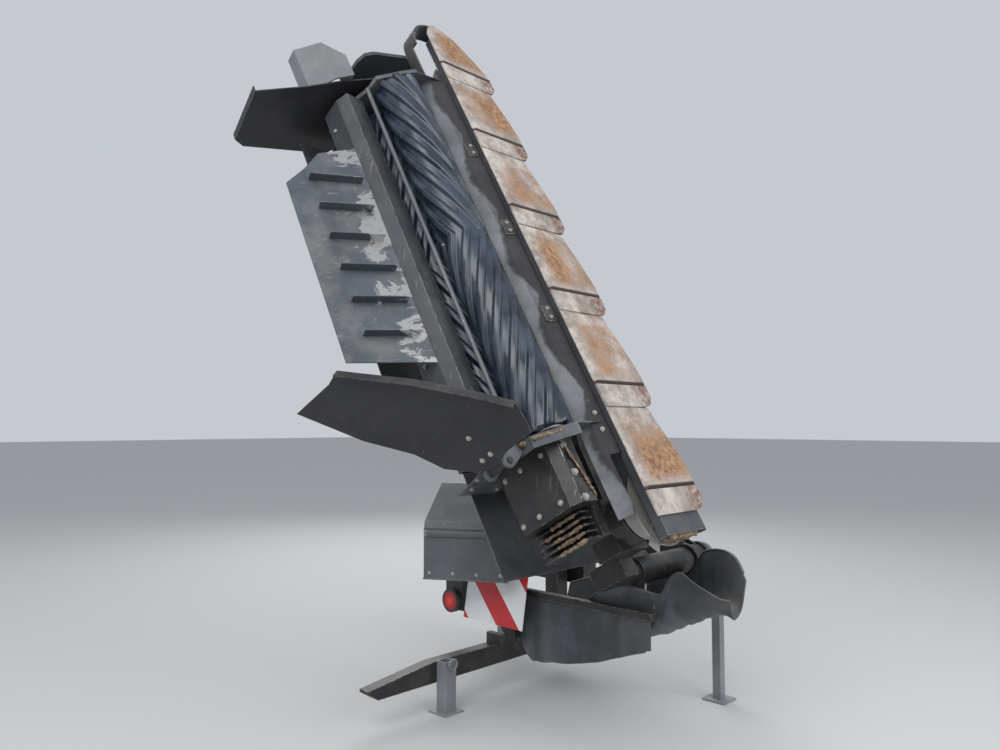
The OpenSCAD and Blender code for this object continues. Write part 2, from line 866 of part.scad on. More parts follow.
module hood_plate() {
    color(grey_paint)
        mower()
            translate([0, spread_v - seat_gap - sheet_t * sin(spread_slope), spread_w])
                rotate([-spread_slope, 0, 0]) {
                    linear_extrude(sheet_t)
                        polygon([[spread_u0, 0], [spread_u0 + 44, -spread_len],
                            [spread_u1 - 190, -spread_len],
                            [spread_u1 - 115, -spread_len + 90], [spread_u1 - 30, -spread_len + 170],
                                [spread_u1, 0]]);
                    for (at = [spread_u0 + 120 : vane_step : spread_u1 - 60])
                        translate([at, -20, -vane_h])
                            rotate([0, 0, 6])
                                translate([0, -spread_len + 110, 0])
                                    cube([4, spread_len - 120, vane_h + cut]);
                }
}

// Folded channel across the front of the spreading plate

module hood_channel() {
    color(grey_paint)
        mower()
            along_bar(plate_in_u + sheet_t + seat_gap, plate_out_u - seat_gap)
                difference() {
                    polygon([[-300, 275], [-385, 265], [-408, 318], [-408, 420], [-300, 420]]);
                    polygon([[-303, 277.7], [-383, 268.4], [-405, 318.6], [-405, 417], [-303, 417]]);
                }
}

// Bar behind the rollers that keeps the crop off them

module scraper_rod() {
    color(steel)
        mower()
            rod_x([plate_in_u + sheet_t + seat_gap, -312, 212], 9,
                plate_out_u - plate_in_u - sheet_t - 2 * seat_gap);
}

// Gearbox over the first disc

module bar_gearbox() {
    color(dark_paint)
        mower() {
            translate([disc_u(1), disc_v, 210])
                cylinder(r = 95, h = 70);
            difference() {
                block([-120, 100, 280 - cut], [90, 270, 400]);
                block([-104, 112, 292], [78, 258, 388]);
            }
            rod_y([pivot_u, 250, pivot_w], 45, hinge_v0 - 250 - seat_gap);
            block([pivot_u - 40, 200, 380], [pivot_u + 45, 280, pivot_w + 45]);
        }
}

// Drive box of the rollers, beside the inner side plate

module roller_drive_box() {
    color(dark_paint)
        mower()
            difference() {
                union() {
                    along_bar(30, plate_in_u - seat_gap)
                        polygon([[-95, 165], [-125, 122], [-205, 122], [-232, 160], [-232, 400],
                            [-200, 440], [-95, 440]]);
                    // Bearing block with its fins at the inner end
                    block([-80, -110, 170], [30 + cut, -70, 430]);
                    for (at = [-80 : 24 : 20])
                        block([at, -165, 185], [at + 6, -110 + cut, 415]);
                }
                for (axis = [[lower_v, lower_w], [upper_v, upper_w]])
                    rod_x([plate_in_u - 90, axis[0], axis[1]], journal_d / 2 + run_fit, 120);
                // Hollow beside the bearings of the rollers
                along_bar(38, plate_in_u - 100)
                    polygon([[-103, 168], [-129, 130], [-201, 130], [-224, 163], [-224, 397],
                        [-196, 432], [-103, 432]]);
            }
}

// Top hood over the discs and the rollers

hood_front = 595;
hood_out = 2320;

module top_hood() {
    color(grey_paint)
        mower()
            difference() {
                along_bar(-60, hood_out)
                    polygon([
                        [-430, hood_w], [hood_front - 50, hood_w], [hood_front, hood_w - 30],
                        [hood_front, hood_w - 80], [hood_front - hood_t, hood_w - 80],
                        [hood_front - hood_t, hood_w - 30 - hood_t],
                            [hood_front - 50 - hood_t, hood_w - hood_t],
                        [-430, hood_w - hood_t]]);
                // Clear space for the outer swath board
                block([plate_out_u + sheet_t + 8, -430 - cut, hood_w - 20],
                    [hood_out + cut, -100, hood_w + 20]);
                // Open corner above the drive of the rollers
                block([-60 - cut, -430 - cut, hood_w - 20], [500, -200, hood_w + 20]);
            }
}

// Front canvas from the hood's front edge down to just above the ground

module front_canvas() {
    color(canvas_grey)
        mower()
            block([-50, hood_front + seat_gap, 280],
                [hood_out - 10, hood_front + seat_gap + 6, hood_w - 34]);
}

// Canvas slung at the mower's inner end: it drapes over a hoop, hangs below it and rises again at the front

// Keeps the place that a piece has beside the fold hinge while the mower is folded up
hang_fold = 120;
module hung() {
    mower()
        translate([pivot_u, 0, pivot_w])
            rotate([0, hang_fold, 0])
                children();
}

hoop_v = 450;
canvas_t = 5;
// Stations of the canvas: across and up from the hinge to the hoop, then the height of its lowest fold,
// the place and height of its front edge, and the place and height of the drape's upper edge
canvas_rows = [
    [-456, -210, -250, 570, -130, 446, -198],
    [-335, -218, -262, 670, -90, 440, -190],
    [-225, -220, -275, 720, -70, 432, -140],
    [-130, -204, -290, 750, -65, 395, -70],
    [-43, -182, -300, 760, -65, 388, -60],
    [55, -146, -265, 760, -60, 388, -60],
    [121, -105, -233, 750, 40, 432, -75],
    [185, -1, -200, 720, 75, 440, 14],
    [281, -35, -160, 670, 85, 446, -22],
    [361, -70, -120, 610, 65, 446, -58],
    [416, -70, -130, 575, 0, 446, -58]];
hoop_rows = [for (i = [1 : 6]) canvas_rows[i]];

// Section of the canvas at a station, as (forward, up)
function canvas_section(r) = [
    [r[5], r[6]], [hoop_v, r[1]], [hoop_v + 10, (r[1] + 2 * r[2]) / 3], [(hoop_v + r[3]) / 2 - 30, r[2]],
    [r[3] - 40, (3 * r[2] + r[4]) / 4], [r[3], r[4]]];
// Direction into the canvas at each point of its section
canvas_in = [[1, 0.4], [1, 0.2], [0.8, 0.6], [0, 1], [-0.6, 0.8], [-1, 0.1]];
section_len = 6;
row_count = len(canvas_rows);

module guard_canvas() {
    outer = [for (r = canvas_rows) for (p = canvas_section(r)) [r[0], p[0], p[1]]];
    inner = [for (r = canvas_rows) for (k = [0 : section_len - 1])
        [r[0], canvas_section(r)[k][0] + canvas_t * canvas_in[k][0],
            canvas_section(r)[k][1] + canvas_t * canvas_in[k][1]]];
    shift = row_count * section_len;
    last = shift - section_len;
    // Outer and inner faces, then the edges along the two rims and at the two ends
    faces = concat(
        [for (i = [0 : row_count - 2]) for (k = [0 : section_len - 2]) for (half = [0, 1])
            [for (c = half == 0 ? [section_len + 1, 1, 0] : [section_len, section_len + 1, 0])
                i * section_len + k + c]],
        [for (i = [0 : row_count - 2]) for (k = [0 : section_len - 2]) for (half = [0, 1])
            [for (c = half == 0 ? [1, section_len + 1, 0] : [section_len + 1, section_len, 0])
                shift + i * section_len + k + c]],
        [for (i = [0 : row_count - 2]) [shift + (i + 1) * section_len, (i + 1) * section_len,
            i * section_len]],
        [for (i = [0 : row_count - 2]) [shift + i * section_len, shift + (i + 1) * section_len,
            i * section_len]],
        [for (i = [1 : row_count - 1])
            [shift + i * section_len - 1, i * section_len - 1, (i + 1) * section_len - 1]],
        [for (i = [1 : row_count - 1])
            [shift + (i + 1) * section_len - 1, shift + i * section_len - 1, (i + 1) * section_len - 1]],
        [for (k = [0 : section_len - 2]) [shift + k + 1, shift + k, k]],
        [for (k = [0 : section_len - 2]) [k + 1, shift + k + 1, k]],
        [for (k = [0 : section_len - 2]) [shift + last + k + 1, last + k + 1, last + k]],
        [for (k = [0 : section_len - 2]) [shift + last + k, shift + last + k + 1, last + k]]);
    color(canvas_grey)
        hung()
            polyhedron(concat(outer, inner), faces);
}

// Flat hoop that holds the canvas open from inside, with two struts up to the hinge's sleeve

hoop_side = 10;
hoop_gap = 2;
hoop_low = hoop_v + canvas_t + hoop_gap;
strut_x = 29;

module guard_frame() {
    color(steel)
        hung() {
            forward(hoop_low, hoop_low + hoop_side)
                polygon(concat(
                    [for (row = hoop_rows) [row[0], row[1] + hoop_side / 2]],
                    [for (i = [len(hoop_rows) - 1 : -1 : 0])
                        [hoop_rows[i][0], hoop_rows[i][1] - hoop_side / 2]]));
            for (x = [-strut_x, strut_x]) {
                foot = -182 + (x + 43) * 0.367;
                head = -sqrt(pow(sleeve_r, 2) - pow(strut_x - hoop_side / 2, 2)) - seat_gap;
                block([x - hoop_side / 2, hoop_low, foot], [x + hoop_side / 2, hoop_low + hoop_side, head]);
            }
        }
}

// Moulded guard on the low edge of the outer swath board

guard_in = board_t / 2 + seat_gap;

module outer_guard() {
    color(grey_paint)
        mower()
            translate([outer_hinge[0], outer_hinge[1], 0])
                rotate([0, 0, outer_turn])
                    intersection() {
                        // Bent shell, as seen along the bar
                        along_bar(guard_in, guard_in + 270)
                            polygon([[-380, 355], [-310, 250], [-242, 205], [-240, 290], [-246, 290],
                                [-247, 214],
                                [-307, 258], [-372, 356], [-370, 415], [-376, 415]]);
                        // Its outline from above
                        translate([guard_in, 0, 0])
                            linear_extrude(hood_w)
                                polygon([[0, -385], [262, -380], [225, -310], [122, -240], [0, -235]]);
                    }
}

// Panel that closes the hood's outer end behind the last disc

module end_panel() {
    color(grey_paint)
        mower()
            along_bar(bar_out - 90, bar_out - 72)
                polygon([[-300, 215], [-285, 170], [-250, 146], [-75, 98], [-20, 110],
                    [-20, hood_w - hood_t - seat_gap],
                    [-300, hood_w - hood_t - seat_gap]]);
}

// Discs with two blades each

disc_long = 192;
disc_short = 150;
blade_w = 48;
blade_root = 135;

module disc(i) {
    lens_shift = (disc_long * disc_long - disc_short * disc_short) / (2 * disc_short);
    mower()
        translate([disc_u(i), disc_v, 0])
            rotate([0, 0, 45]) {
                color(steel)
                    difference() {
                        union() {
                            // Oval plate
                            translate([0, 0, disc_w])
                                linear_extrude(8)
                                    intersection() {
                                        translate([0, lens_shift])
                                            circle(r = disc_short + lens_shift, $fn = 96);
                                        translate([0, -lens_shift])
                                            circle(r = disc_short + lens_shift, $fn = 96);
                                    }
                            // Hub and dome
                            translate([0, 0, seat_top + seat_gap])
                                cylinder(r = 45, h = disc_w - seat_top);
                            translate([0, 0, disc_w + 8 - seat_gap])
                                rotate_extrude()
                                    polygon([[0, 0], [95, 0], [80, 18], [45, 34], [0, 36]]);
                            if (i == 1 || i == disc_count)
                                translate([0, 0, disc_w + 8 - seat_gap])
                                    rotate_extrude()
                                        polygon([[119, 0], [125, 0], [112, 30], [105, 90], [60, 96],
                                            [0, 96], [0, 92], [58, 92], [101, 86], [107, 29]]);
                        }
                        translate([0, 0, seat_top - cut])
                            cylinder(r = spindle_d / 2 + run_fit, h = spindle_top - seat_top + 4);
                    }
                // Blades under the plate's two tips
                color(dark_paint)
                    for (turn = [0, 180])
                        rotate([0, 0, turn]) {
                            translate([blade_root, -blade_w / 2, disc_w - 6])
                                cube([blade_reach - blade_root - 4, blade_w, 5]);
                            translate([blade_root + 28, 0, disc_w - 9])
                                cylinder(r = 14, h = 22);
                        }
            }
}

module disc_1() { disc(1); }
module disc_2() { disc(2); }
module disc_3() { disc(3); }
module disc_4() { disc(4); }
module disc_5() { disc(5); }
module disc_6() { disc(6); }

// Rubber rollers with ribs that meet in a V at the middle

// Outline of a roller: a round core with raised ribs
module roller_section() {
    core = roller_r - rib_h;
    step = 360 / rib_count;
    polygon([
        for (i = [0 : rib_count - 1])
            for (p = [[0, core], [0.18, roller_r], [0.42, roller_r], [0.60, core]])
                [p[1] * cos((i + p[0]) * step), p[1] * sin((i + p[0]) * step)]]);
}

end_disc_t = 25;
roller_wall = 24;

module roller(v, w, dir) {
    mid = plate_in_u + sheet_t + roller_end_gap + roller_len / 2;
    mower()
        difference() {
            union() {
                translate([mid, v, w])
                    rotate([0, 90, 0])
                        linear_extrude(roller_len / 2, twist = dir * rib_twist, slices = 20)
                            roller_section();
                translate([mid, v, w])
                    mirror([1, 0, 0])
                        rotate([0, 90, 0])
                            linear_extrude(roller_len / 2, twist = dir * rib_twist, slices = 20)
                                roller_section();
                rod_x([plate_in_u - 60, v, w], journal_d / 2,
                    roller_len + 2 * roller_end_gap + 2 * sheet_t + 80);
            }
            // Hollow between the roller's two end discs
            rod_x([mid - roller_len / 2 + end_disc_t, v, w], roller_r - rib_h - roller_wall,
                roller_len - 2 * end_disc_t);
        }
}

module roller_lower() {
    color(rubber_blue)
        roller(lower_v, lower_w, 1);
}

module roller_upper() {
    color(rubber_blue)
        roller(upper_v, upper_w, -1);
}

// Swath boards, hinged about upright pins at their front edges

// Outline of a board as (distance from its hinge, height)
inner_board = [[0, 50], [40, 30], [112, 2], [197, 60], [388, 210], [587, 400], [575, 470], [587, 680],
    [353, 570],
    [197, 460], [88, 420], [0, 330]];
outer_board = [[0, 130], [243, 250], [391, 340], [574, 432], [539, 706], [491, 729], [106, 653], [0, 520]];
// Stretch of each board's edge that carries a flange
inner_edge = [[112, 2], [197, 60], [388, 210], [587, 400]];
outer_edge = [[574, 432], [539, 706]];

inner_turn = 48;

module swath_board(hinge_at, turn, outline, edge, flange_dir, hinge_low, hinge_high) {
    mower()
        translate([hinge_at[0], hinge_at[1], 0])
            rotate([0, 0, turn])
                union() {
                    translate([-board_t / 2, -board_lug_r - 8, 0])
                        rotate([90, 0, 90])
                            linear_extrude(board_t)
                                mirror([1, 0])
                                    polygon(outline);
                    translate([0, 0, hinge_low - 8])
                        cylinder(r = board_pin_r, h = hinge_high + board_lug_t - hinge_low + 16);
                    // Flange along part of the edge
                    for (i = [0 : len(edge) - 2]) {
                        step = edge[i + 1] - edge[i];
                        translate([flange_dir < 0 ? -board_flange : 0, -board_lug_r - 8 - edge[i][0],
                            edge[i][1]])
                            rotate([-atan2(step[1], step[0]), 0, 0])
                                translate([0, -norm(step), 0])
                                    cube([board_flange, norm(step), 4]);
                    }
                    // Web between the two lugs
                    translate([-board_t / 2, -board_lug_r - 9, hinge_low + board_lug_t + 5])
                        cube([board_t, board_lug_r + 9, hinge_high - hinge_low - board_lug_t - 10]);
                }
}

module swath_board_inner() {
    color(dark_paint)
        swath_board(inner_hinge, inner_turn, inner_board, inner_edge, -1, inner_hinge_low,
            inner_hinge_high);
}

module swath_board_outer() {
    color(dark_paint)
        swath_board(outer_hinge, outer_turn, outer_board, outer_edge, 1, outer_hinge_low, outer_hinge_high);
}

hitch_bar();
mast_frame();
main_beam();
gearbox_input();
pivot_gearbox();
stand_arm();
leg_rear();
leg_right();
leg_left();
drive_cover();
warning_board();
tail_lamp();
stand_curtain();
cylinder_barrel();
cylinder_rod();
fold_hinge();
frame_beam();
side_plate_inner();
side_plate_outer();
cutter_bar();
skid_shoes();
crop_plate();
outer_loop();
hood_plate();
hood_channel();
scraper_rod();
bar_gearbox();
roller_drive_box();
top_hood();
guard_canvas();
front_canvas();
guard_frame();
outer_guard();
end_panel();
disc_1();
disc_2();
disc_3();
disc_4();
disc_5();
disc_6();
roller_lower();
roller_upper();
swath_board_inner();
swath_board_outer();
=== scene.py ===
import math

import bmesh
import bpy
import numpy as np
from mathutils import Euler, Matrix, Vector


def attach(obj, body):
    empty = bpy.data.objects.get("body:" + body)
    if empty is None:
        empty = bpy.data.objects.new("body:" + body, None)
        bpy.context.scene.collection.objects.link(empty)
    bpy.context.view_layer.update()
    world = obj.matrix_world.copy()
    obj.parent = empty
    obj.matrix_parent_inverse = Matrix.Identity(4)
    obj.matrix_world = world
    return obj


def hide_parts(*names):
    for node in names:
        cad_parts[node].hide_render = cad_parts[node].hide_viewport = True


# A mounted disc mower with a roller conditioner, folded upright and standing on its parking legs.
# +X is the side that the mower works on, +Y the direction of travel, +Z up, in metres.

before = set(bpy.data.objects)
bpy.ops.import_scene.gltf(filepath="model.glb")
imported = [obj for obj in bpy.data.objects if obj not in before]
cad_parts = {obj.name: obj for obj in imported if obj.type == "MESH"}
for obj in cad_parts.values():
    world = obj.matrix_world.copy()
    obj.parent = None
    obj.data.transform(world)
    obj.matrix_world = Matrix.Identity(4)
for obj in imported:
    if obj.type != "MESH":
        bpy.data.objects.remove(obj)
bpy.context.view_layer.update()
print("frame: loaded")

# The mower's pieces are placed in its working frame: u along the cutter bar from its inner end,
# v forward from the bar's rear edge and w up from the soles of its shoes
fold = {"angle": 120.0, "pivotU": -0.150, "pivotW": 0.500, "pivotX": 0.569, "pivotZ": 0.650, "barY": -0.150}
discPitch = 0.430
foldCos = math.cos(math.radians(fold["angle"]))
foldSin = math.sin(math.radians(fold["angle"]))


def mowerPoints(u, v, w):
    # The working frame turned back about the fold hinge, as rows of x, y and z
    du = np.asarray(u, float) - fold["pivotU"]
    dw = np.asarray(w, float) - fold["pivotW"]
    x = fold["pivotX"] + du * foldCos - dw * foldSin
    z = fold["pivotZ"] + du * foldSin + dw * foldCos
    return np.stack(np.broadcast_arrays(x, np.asarray(v, float) + fold["barY"], z), -1)


# Camera, floor and light

view = {"place": (2.443, -2.423, 1.252), "azimuth": 44.4, "lift": 3.6, "lens": 28.08}


def makeCamera():
    data = bpy.data.cameras.new("camera")
    data.sensor_width = 36
    data.lens = view["lens"]
    camera = bpy.data.objects.new("camera", data)
    camera.location = view["place"]
    a, e = math.radians(view["azimuth"]), math.radians(view["lift"])
    look = Vector((-math.sin(a) * math.cos(e), math.cos(a) * math.cos(e), math.sin(e)))
    camera.rotation_euler = look.to_track_quat("-Z", "Y").to_euler()
    bpy.context.scene.collection.objects.link(camera)
    bpy.context.scene.camera = camera


makeCamera()


# Node helpers

class Wire:
    # A node's output. Sums of wires and numbers build math nodes, and an index gives the node's other outputs
    def __init__(self, socket):
        self.socket, self.tree = socket, socket.id_data

    def __getitem__(self, output):
        return Wire(self.socket.node.outputs[output])

    def __add__(self, other):
        return doMath("ADD", self, other)

    def __sub__(self, other):
        return doMath("SUBTRACT", self, other)

    def __rsub__(self, other):
        return doMath("SUBTRACT", other, self)

    def __mul__(self, other):
        return doMath("MULTIPLY", self, other)

    def __truediv__(self, other):
        return doMath("DIVIDE", self, other)

    def __abs__(self):
        return doMath("ABSOLUTE", self)

    def clamp(self):
        self.socket.node.use_clamp = True
        return self


def setInput(socket, value):
    # A value set on an input, or a wire joined to it
    if isinstance(value, Wire):
        socket.id_data.links.new(value.socket, socket)
    else:
        socket.default_value = value


def addNode(kind, settings=None, **inputs):
    # A node with its own settings and inputs, in the tree of the first wire given. i3 is the input number 3
    tree = next(value.tree for value in inputs.values() if isinstance(value, Wire))
    node = tree.nodes.new(kind)
    for key, value in (settings or {}).items():
        setattr(node, key, value)
    for key, value in inputs.items():
        setInput(node.inputs[int(key[1:]) if key[1:].isdigit() else key.replace("_", " ")], value)
    return Wire(node.outputs[0])


def doMath(operation, a, b=0.0):
    return addNode("ShaderNodeMath", {"operation": operation}, i0=a, i1=b)


def doVectorMath(operation, a, b):
    return addNode("ShaderNodeVectorMath", {"operation": operation}, i0=a, i1=b)


def mixColour(mask, a, b):
    a, b = (value if isinstance(value, Wire) else (*value, 1) for value in (a, b))
    return addNode("ShaderNodeMix", {"data_type": "RGBA"}, i0=mask, i6=a, i7=b)[2]


def mixValue(mask, a, b):
    return addNode("ShaderNodeMix", None, i0=mask, i2=a, i3=b)


def rampMask(value, low, high):
    # 0 below low, 1 above high and a smooth step between them
    return addNode("ShaderNodeMapRange", {"interpolation_type": "SMOOTHSTEP"},
                   Value=value, From_Min=low, From_Max=high)


def noiseValue(vector, scale, detail=4.0, rough=0.55, distort=0.0):
    return addNode("ShaderNodeTexNoise", None, Vector=vector, Scale=scale, Detail=detail,
                   Roughness=rough, Distortion=distort)["Fac"]


def splitAxes(vector):
    return addNode("ShaderNodeSeparateXYZ", None, Vector=vector)


def surfaceNormal(tree):
    return Wire(tree.nodes.new("ShaderNodeNewGeometry").outputs["Normal"])


def newGroup(name, inputs, outputs):
    # A node group's given wires and the inputs of its output node. A socket marked v is a vector, f a number
    tree = bpy.data.node_groups.new(name, "ShaderNodeTree")
    kinds = {"v": "NodeSocketVector", "f": "NodeSocketFloat"}
    for way, sockets in (("INPUT", inputs), ("OUTPUT", outputs)):
        for label, kind in sockets.items():
            tree.interface.new_socket(label, in_out=way, socket_type=kinds[kind])
    return Wire(tree.nodes.new("NodeGroupInput").outputs[0]), tree.nodes.new("NodeGroupOutput").inputs


# Shared effects

def makeEdgeWear():
    # Paint lost along edges: where a rounded normal leaves the flat one, broken up by noise
    given, out = newGroup("edgeWear", {"Vector": "v", "Radius": "f", "Amount": "f", "Scale": "f"},
                          {"Mask": "f"})
    rounded = addNode("ShaderNodeBevel", {"samples": 4}, Radius=given["Radius"])
    turn = doVectorMath("DOT_PRODUCT", rounded, surfaceNormal(given.tree))["Value"]
    edge = rampMask(1.0 - turn, 0.01, 0.10)
    noise = noiseValue(given["Vector"], given["Scale"], 6.0, 0.65)
    worn = rampMask(noise + given["Amount"] * 0.4, 0.52, 0.66)
    setInput(out["Mask"], edge * worn)
    return given.tree


def makeDust():
    # Dust in blotches, more of it on faces that look up
    given, out = newGroup("dust", {"Vector": "v", "Amount": "f", "Scale": "f"}, {"Mask": "f"})
    facing = rampMask(splitAxes(surfaceNormal(given.tree))["Z"], -0.4, 1.0)
    blotch = noiseValue(given["Vector"], given["Scale"], 8.0, 0.6)
    mask = (facing + 0.25) * rampMask(blotch, 0.35, 0.7)
    setInput(out["Mask"], (mask * given["Amount"]).clamp())
    return given.tree


def makeScratches():
    # Thin streaks: noise stretched along one direction and cut at its crest
    given, out = newGroup("scratches", {"Vector": "v", "Stretch": "v", "Amount": "f"}, {"Mask": "f"})
    drawn = doVectorMath("MULTIPLY", given["Vector"], given["Stretch"])
    streak = rampMask(noiseValue(drawn, 1.0, 5.0, 0.7, 0.3), 0.60, 0.68)
    mask = streak * rampMask(noiseValue(given["Vector"], 5.0, 2.0, 0.5), 0.42, 0.60)
    setInput(out["Mask"], (mask * given["Amount"]).clamp())
    return given.tree


def makeGrain():
    # Fine height of a sprayed, moulded or cast skin
    given, out = newGroup("grain", {"Vector": "v", "Scale": "f", "Coarse": "f"}, {"Height": "f"})
    fine = noiseValue(given["Vector"], given["Scale"], 3.0, 0.5)
    setInput(out["Height"], fine * 0.4 + noiseValue(given["Vector"], given["Coarse"], 3.0, 0.5))
    return given.tree


def makeWorkingFrame():
    # Object coordinates turned into the mower's working frame: u along the bar, v forward, w up
    given, out = newGroup("workingFrame", {"Vector": "v"}, {"Vector": "v", "U": "f", "V": "f", "W": "f"})
    turn = Euler((0, math.radians(fold["angle"]), 0))
    shift = Vector((fold["pivotU"], -fold["barY"], fold["pivotW"]))
    shift -= turn.to_matrix() @ Vector((fold["pivotX"], 0, fold["pivotZ"]))
    place = addNode("ShaderNodeMapping", None, Vector=given["Vector"], Location=shift, Rotation=turn)
    setInput(out["Vector"], place)
    for axis, name in zip("XYZ", "UVW"):
        setInput(out[name], splitAxes(place)[axis])
    return given.tree


groups = {"edgeWear": makeEdgeWear(), "dust": makeDust(), "scratches": makeScratches(),
          "grain": makeGrain(), "workingFrame": makeWorkingFrame()}
dustColour = (0.33, 0.29, 0.24)
print("materials: shared groups made")


# Materials

def useGroup(group, **inputs):
    return addNode("ShaderNodeGroup", {"node_tree": groups[group]}, **inputs)


def startMaterial(name, **fixed):
    # A new material, its shader with plain values and its Object coordinates
    material = bpy.data.materials.new(name)
    material.use_nodes = True
    nodes = material.node_tree.nodes
    for key, value in fixed.items():
        nodes["Principled BSDF"].inputs[key.replace("_", " ")].default_value = value
    return material, nodes["Principled BSDF"], Wire(nodes.new("ShaderNodeTexCoord").outputs["Object"])


def setSurface(shader, colour, rough, height, bump, metal=0.0):
    setInput(shader.inputs["Base Color"], colour)
    setInput(shader.inputs["Roughness"], rough)
    setInput(shader.inputs["Metallic"], metal)
    normal = addNode("ShaderNodeBump", None, Strength=bump[0], Distance=bump[1], Height=height)
    setInput(shader.inputs["Normal"], normal)


def addScratches(place, colour, stretch, amount, bare):
    mask = useGroup("scratches", Vector=place, Stretch=stretch, Amount=amount)
    return mixColour(mask, colour, bare)


def addDust(place, colour, rough, amount, scale=9.0):
    dust = useGroup("dust", Vector=place, Amount=amount, Scale=scale)
    return mixColour(dust, colour, dustColour), mixValue(dust, rough, 0.88), dust


def paintedMetal(name, paint, bare=(0.42, 0.40, 0.38), rough=0.42, wear=0.35, dusty=0.35, scratch=0.3):
    # Sprayed steel: paint with cloudy tone, bare metal along its edges and in scratches, and dust on top
    material, shader, place = startMaterial(name, Specular_IOR_Level=0.45)
    tone = noiseValue(place, 3.0, 5.0, 0.6)
    colour = mixColour(rampMask(tone, 0.35, 0.65), tuple(c * 0.72 for c in paint), paint)
    edge = useGroup("edgeWear", Vector=place, Radius=0.004, Amount=wear, Scale=38.0)
    streak = useGroup("scratches", Vector=place, Stretch=(60.0, 60.0, 9.0), Amount=scratch)
    bareMask = doMath("MAXIMUM", edge, streak)
    colour = mixColour(bareMask, colour, bare)
    colour, rough, dust = addDust(place, colour, mixValue(bareMask, rough, 0.32), dusty)
    height = useGroup("grain", Vector=place, Scale=420.0, Coarse=22.0)
    setSurface(shader, colour, rough, height, (0.12, 0.001), (bareMask * (0.9 - dust)).clamp())
    return material


soleLook = {"white": ((0.23, 0.19, 0.165), (0.50, 0.455, 0.42)),
            "rust": ((0.16, 0.080, 0.042), (0.40, 0.235, 0.130)), "grime": (0.085, 0.062, 0.050),
            "seam": (0.045, 0.03, 0.025), "notch": (0.14, 0.048, 0.030), "side": (0.10, 0.08, 0.07),
            "rough": (0.50, 0.80), "bump": (0.45, 0.003)}


def makeSole(look):
    # Along each pitch of the shoes: a dark seam, a rusty patch that fades into worn off-white, then a pale
    # strip. Noise shifts the patch's edges and its strength from shoe to shoe
    material, shader, place = startMaterial("soleWorn", Specular_IOR_Level=0.35)
    spot = useGroup("workingFrame", Vector=place)
    s = doMath("FRACT", spot["U"] / discPitch)
    broad = noiseValue(place, 2.6, 2.0, 0.5)
    cloud = noiseValue(place, 9.0, 7.0, 0.72)
    speck = noiseValue(place, 46.0, 6.0, 0.72, 0.4)
    wavy = s + (cloud - 0.5) * 0.42
    patch = rampMask(wavy, 0.02, 0.16) * (1.0 - rampMask(wavy, 0.50, 0.80))
    patch = patch * rampMask(broad + speck * 0.6, 0.60, 0.86) * rampMask(spot["V"], 0.0, 0.09)
    white = mixColour(rampMask(cloud, 0.36, 0.66), *look["white"])
    rust = mixColour(rampMask(speck, 0.34, 0.66), *look["rust"])
    colour = mixColour(patch, white, rust)
    grime = rampMask(noiseValue(place, 120.0, 4.0, 0.7), 0.57, 0.68)
    colour = mixColour(grime * 0.55, colour, look["grime"])
    seam = rampMask(abs(s - 0.012), 0.012, 0.03)
    colour = mixColour(1.0 - seam, colour, look["seam"])
    notch = rampMask(spot["V"], 0.19, 0.27) * rampMask(s, 0.62, 0.80) * rampMask(speck, 0.36, 0.62)
    colour = mixColour(notch, colour, look["notch"])
    colour = mixColour(rampMask(spot["W"], 0.011, 0.0145), colour, look["side"])
    setSurface(shader, colour, mixValue(patch, *look["rough"]), speck + cloud, look["bump"])
    return material


spreadLook = {"paint": ((0.042, 0.051, 0.064), (0.075, 0.090, 0.110)), "bare": (0.50, 0.50, 0.50),
              "scratch": (0.34, 0.35, 0.36), "rough": (0.42, 0.28), "dust": 0.22, "bump": (0.12, 0.001)}


def makeSpread(look):
    # Blue-grey plate with ragged bright patches worn by the crop near its front edge
    material, shader, place = startMaterial("spreadPlate", Specular_IOR_Level=0.5)
    spot = useGroup("workingFrame", Vector=place)
    tone = noiseValue(place, 4.0, 5.0, 0.6)
    colour = mixColour(rampMask(tone, 0.3, 0.7), *look["paint"])
    torn = noiseValue(doVectorMath("MULTIPLY", spot["Vector"], (9.0, 5.0, 9.0)), 1.0, 8.0, 0.68, 0.6)
    bare = rampMask(torn + rampMask(spot["V"], -0.66, -0.46) * 0.24, 0.735, 0.775)
    colour = mixColour(bare, colour, look["bare"])
    colour = addScratches(spot["Vector"], colour, (70.0, 6.0, 70.0), 0.5, look["scratch"])
    colour, rough, _ = addDust(place, colour, mixValue(bare, *look["rough"]), look["dust"])
    height = useGroup("grain", Vector=place, Scale=300.0, Coarse=16.0)
    setSurface(shader, colour, rough, height, look["bump"], bare * 0.85)
    return material


muddyLook = {"steel": ((0.060, 0.066, 0.074), (0.125, 0.133, 0.145)), "mud": (0.020, 0.018, 0.017),
             "clod": (0.15, 0.13, 0.11), "scallop": 0.045, "edge": (-0.066, -0.052), "rough": (0.4, 0.9),
             "bump": (0.5, 0.003)}


def makeMuddySteel(look):
    # Dark worn steel with a scalloped edge of dried crop and mud above each disc
    material, shader, place = startMaterial("muddySteel", Specular_IOR_Level=0.4)
    spot = useGroup("workingFrame", Vector=place)
    tone = noiseValue(place, 6.0, 6.0, 0.65)
    colour = mixColour(rampMask(tone, 0.35, 0.65), *look["steel"])
    wave = abs(doMath("SINE", spot["U"] * (math.pi / discPitch))) * look["scallop"]
    mud = rampMask(spot["V"] + wave - tone * 0.05, *look["edge"])
    colour = mixColour(mud * 0.80, colour, look["mud"])
    clod = noiseValue(place, 60.0, 5.0, 0.6)
    colour = mixColour(rampMask(clod, 0.68, 0.73), colour, look["clod"])
    setSurface(shader, colour, mixValue(mud, *look["rough"]), clod, look["bump"])
    return material


